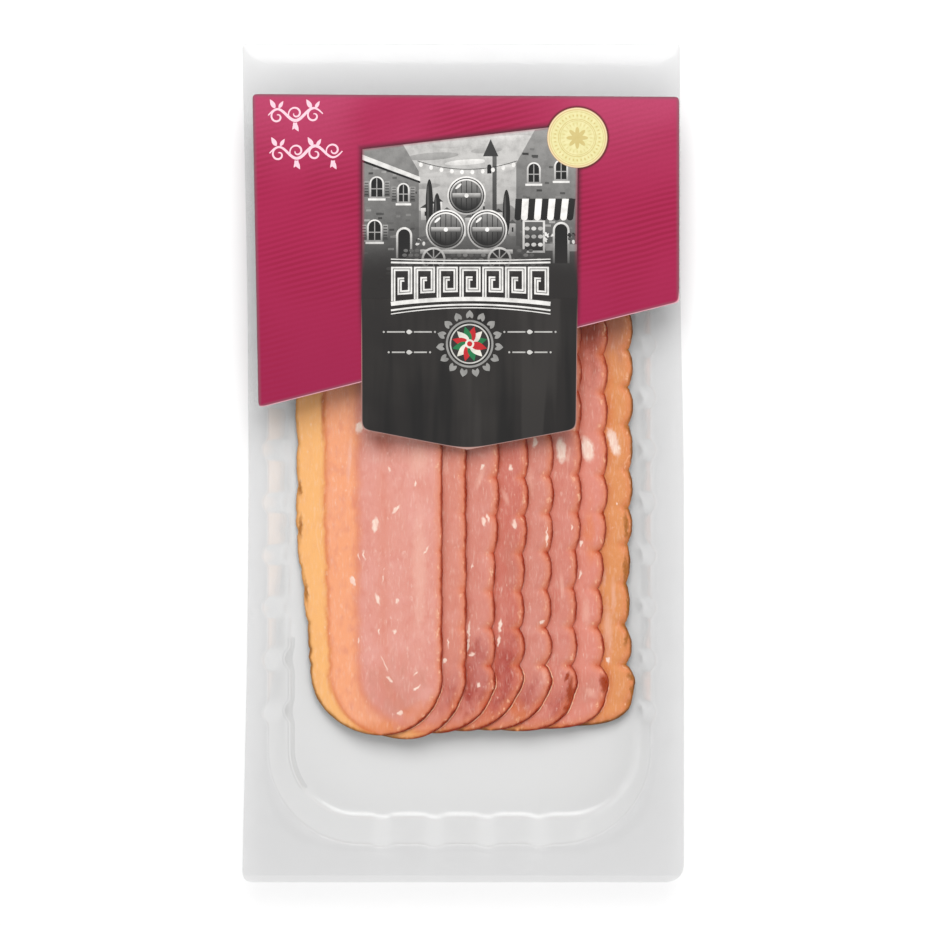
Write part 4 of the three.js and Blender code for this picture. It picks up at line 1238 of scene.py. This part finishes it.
ROSETTE = (1.9, 34.0)
PETAL_GREEN, PETAL_CREAM, PETAL_RED = ink(30, 118, 70), ink(232, 228, 216), ink(196, 34, 40)
RING_GREY, RULE_GREY, DIAMOND_GREY = ink(150, 149, 146), ink(186, 184, 180), ink(206, 204, 200)
DISCS = ((13.6, RING_GREY), (12.4, ink(30, 28, 27)), (11.4, ink(204, 202, 196)),
         (10.6, ink(44, 42, 40)))
ornament = []
for i in range(30):
    t = math.radians(i * 12)
    bx, by = ROSETTE[0] + 7.3 * math.cos(t), ROSETTE[1] + 7.3 * math.sin(t)
    ornament.append((leaf(bx, by, 2.5, 1.15, i * 12 + (24 if i % 2 else -24)), RING_GREY))
ornament += [(oval(*ROSETTE, size, size, count=60), paint) for size, paint in DISCS]
for i in range(12):
    paint = (PETAL_GREEN, PETAL_CREAM, PETAL_RED)[i % 3]
    ornament.append((leaf(*ROSETTE, 5.1, 2.3, i * 30 + 15), paint))
ornament += [(oval(*ROSETTE, 2.6, 2.6), PETAL_CREAM), (oval(*ROSETTE, 1.5, 1.5), PETAL_RED)]
for side in (-1, 1):
    for row, half_length in ((37.4, 6.4), (31.6, 5.0)):
        cx = ROSETTE[0] + side * 17.2
        ornament.append((leaf(cx - 0.9, row, 1.8, 1.3, 0), DIAMOND_GREY))
        for part in (-1, 1):
            rule = [(cx + part * 1.3, row), (cx + part * half_length, row)]
            dot = oval(cx + part * (half_length + 0.9), row, 0.6, 0.6, count=12)
            ornament += [(swept(rule, 0.42), RULE_GREY), (dot, RULE_GREY)]
rosette = printed("rosette_and_rules", ornament, SHIELD_TOP, ink_material("rosette_ink"))

# ---------------------------------------------------------------- gold seal
# A round seal of matt gold paper, stamped with rings, a ring of beads and a star, and
# stuck over the upper right corner of the shield.

SEAL_TOP, SEAL_BASE = 14.65, 14.36
STAMP_DEPTH = 0.035
SEAL_RINGS, SEAL_TURNS, RIM_WIDTH = 110, 360, 0.12
STAMPED_RINGS = ((8.05, 0.18), (5.35, 0.12), (4.9, 0.08), (7.45, 0.07))     # radius and width
GOLD, PALE_GOLD, GOLD_BORDER = ink(216, 208, 146), ink(226, 218, 162), ink(240, 214, 176)
RUBBED_GOLD, GOLD_RIM = ink(190, 166, 92), ink(150, 96, 60)


def stamp_height(radius, turn):
    """How high the stamped relief stands, from 0 to 1."""
    rings = sum(np.exp(-((radius - r) / w) ** 2) for r, w in STAMPED_RINGS)
    beads = np.exp(-((radius - 6.4) / 0.34) ** 2) * np.clip(np.cos(turn * 36) * 1.4, 0, 1)
    star = smooth(1.6 + 1.5 * np.abs(np.cos(turn * 4)) ** 1.6 - radius, -0.15, 0.15)
    rays = np.exp(-((radius - 4.0) / 0.5) ** 2) * np.clip(np.cos(turn * 24), 0, 1) * 0.6
    return np.clip(rings + beads + star + rays, 0, 1)


face_radius = SEAL_RADIUS - RIM_WIDTH
radii = np.concatenate([np.linspace(0.05, face_radius, SEAL_RINGS),
                        face_radius + RIM_WIDTH * np.sin(np.linspace(0.2, 1, 6) * math.pi / 2)])
turn = np.arange(SEAL_TURNS) * 2 * math.pi / SEAL_TURNS
seal_rings = []
for radius in radii:
    drop = 0.10 * max(0.0, (radius - face_radius) / RIM_WIDTH) ** 2
    top = SEAL_TOP - STAMP_DEPTH + STAMP_DEPTH * stamp_height(radius, turn) - drop
    seal_rings.append(np.stack([SEAL_CENTRE[0] + radius * np.cos(turn),
                                SEAL_CENTRE[1] + radius * np.sin(turn), top], 1))
seal_rings.append(seal_rings[-1] * (1, 1, 0) + (0, 0, SEAL_BASE))
points, faces = skin_of_rings(seal_rings, (*SEAL_CENTRE, SEAL_TOP - STAMP_DEPTH * 0.2),
                              (*SEAL_CENTRE, SEAL_BASE))
gold_paper, start, x, y, in_mm = paper("gold_paper")
away = round_seal(x, y)
rub = start.noise(in_mm, 0.9, 3.0)
colour = layered(
    GOLD,
    (rub.step(0.3, 0.7), PALE_GOLD),
    (away.step(7.5, 8.3, 0.0, 0.8), GOLD_BORDER),
    (start.attribute("raised") * 0.72, RUBBED_GOLD),
    (away.step(8.35, 8.6, 0.0, 0.7), GOLD_RIM))
start.coat(colour, rub.step(0.2, 0.8, 0.42, 0.56), 0.4)
seal = moulded("stamped_seal", points, faces, [gold_paper])
offset = np.hypot(points[:, 0] - SEAL_CENTRE[0], points[:, 1] - SEAL_CENTRE[1])
around = np.arctan2(points[:, 1] - SEAL_CENTRE[1], points[:, 0] - SEAL_CENTRE[0])
store(seal, "raised", stamp_height(offset, around))
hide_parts("gold_seal")

size = {"frame": [list(v) for v in cad_box], "dressed": [list(v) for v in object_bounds()]}
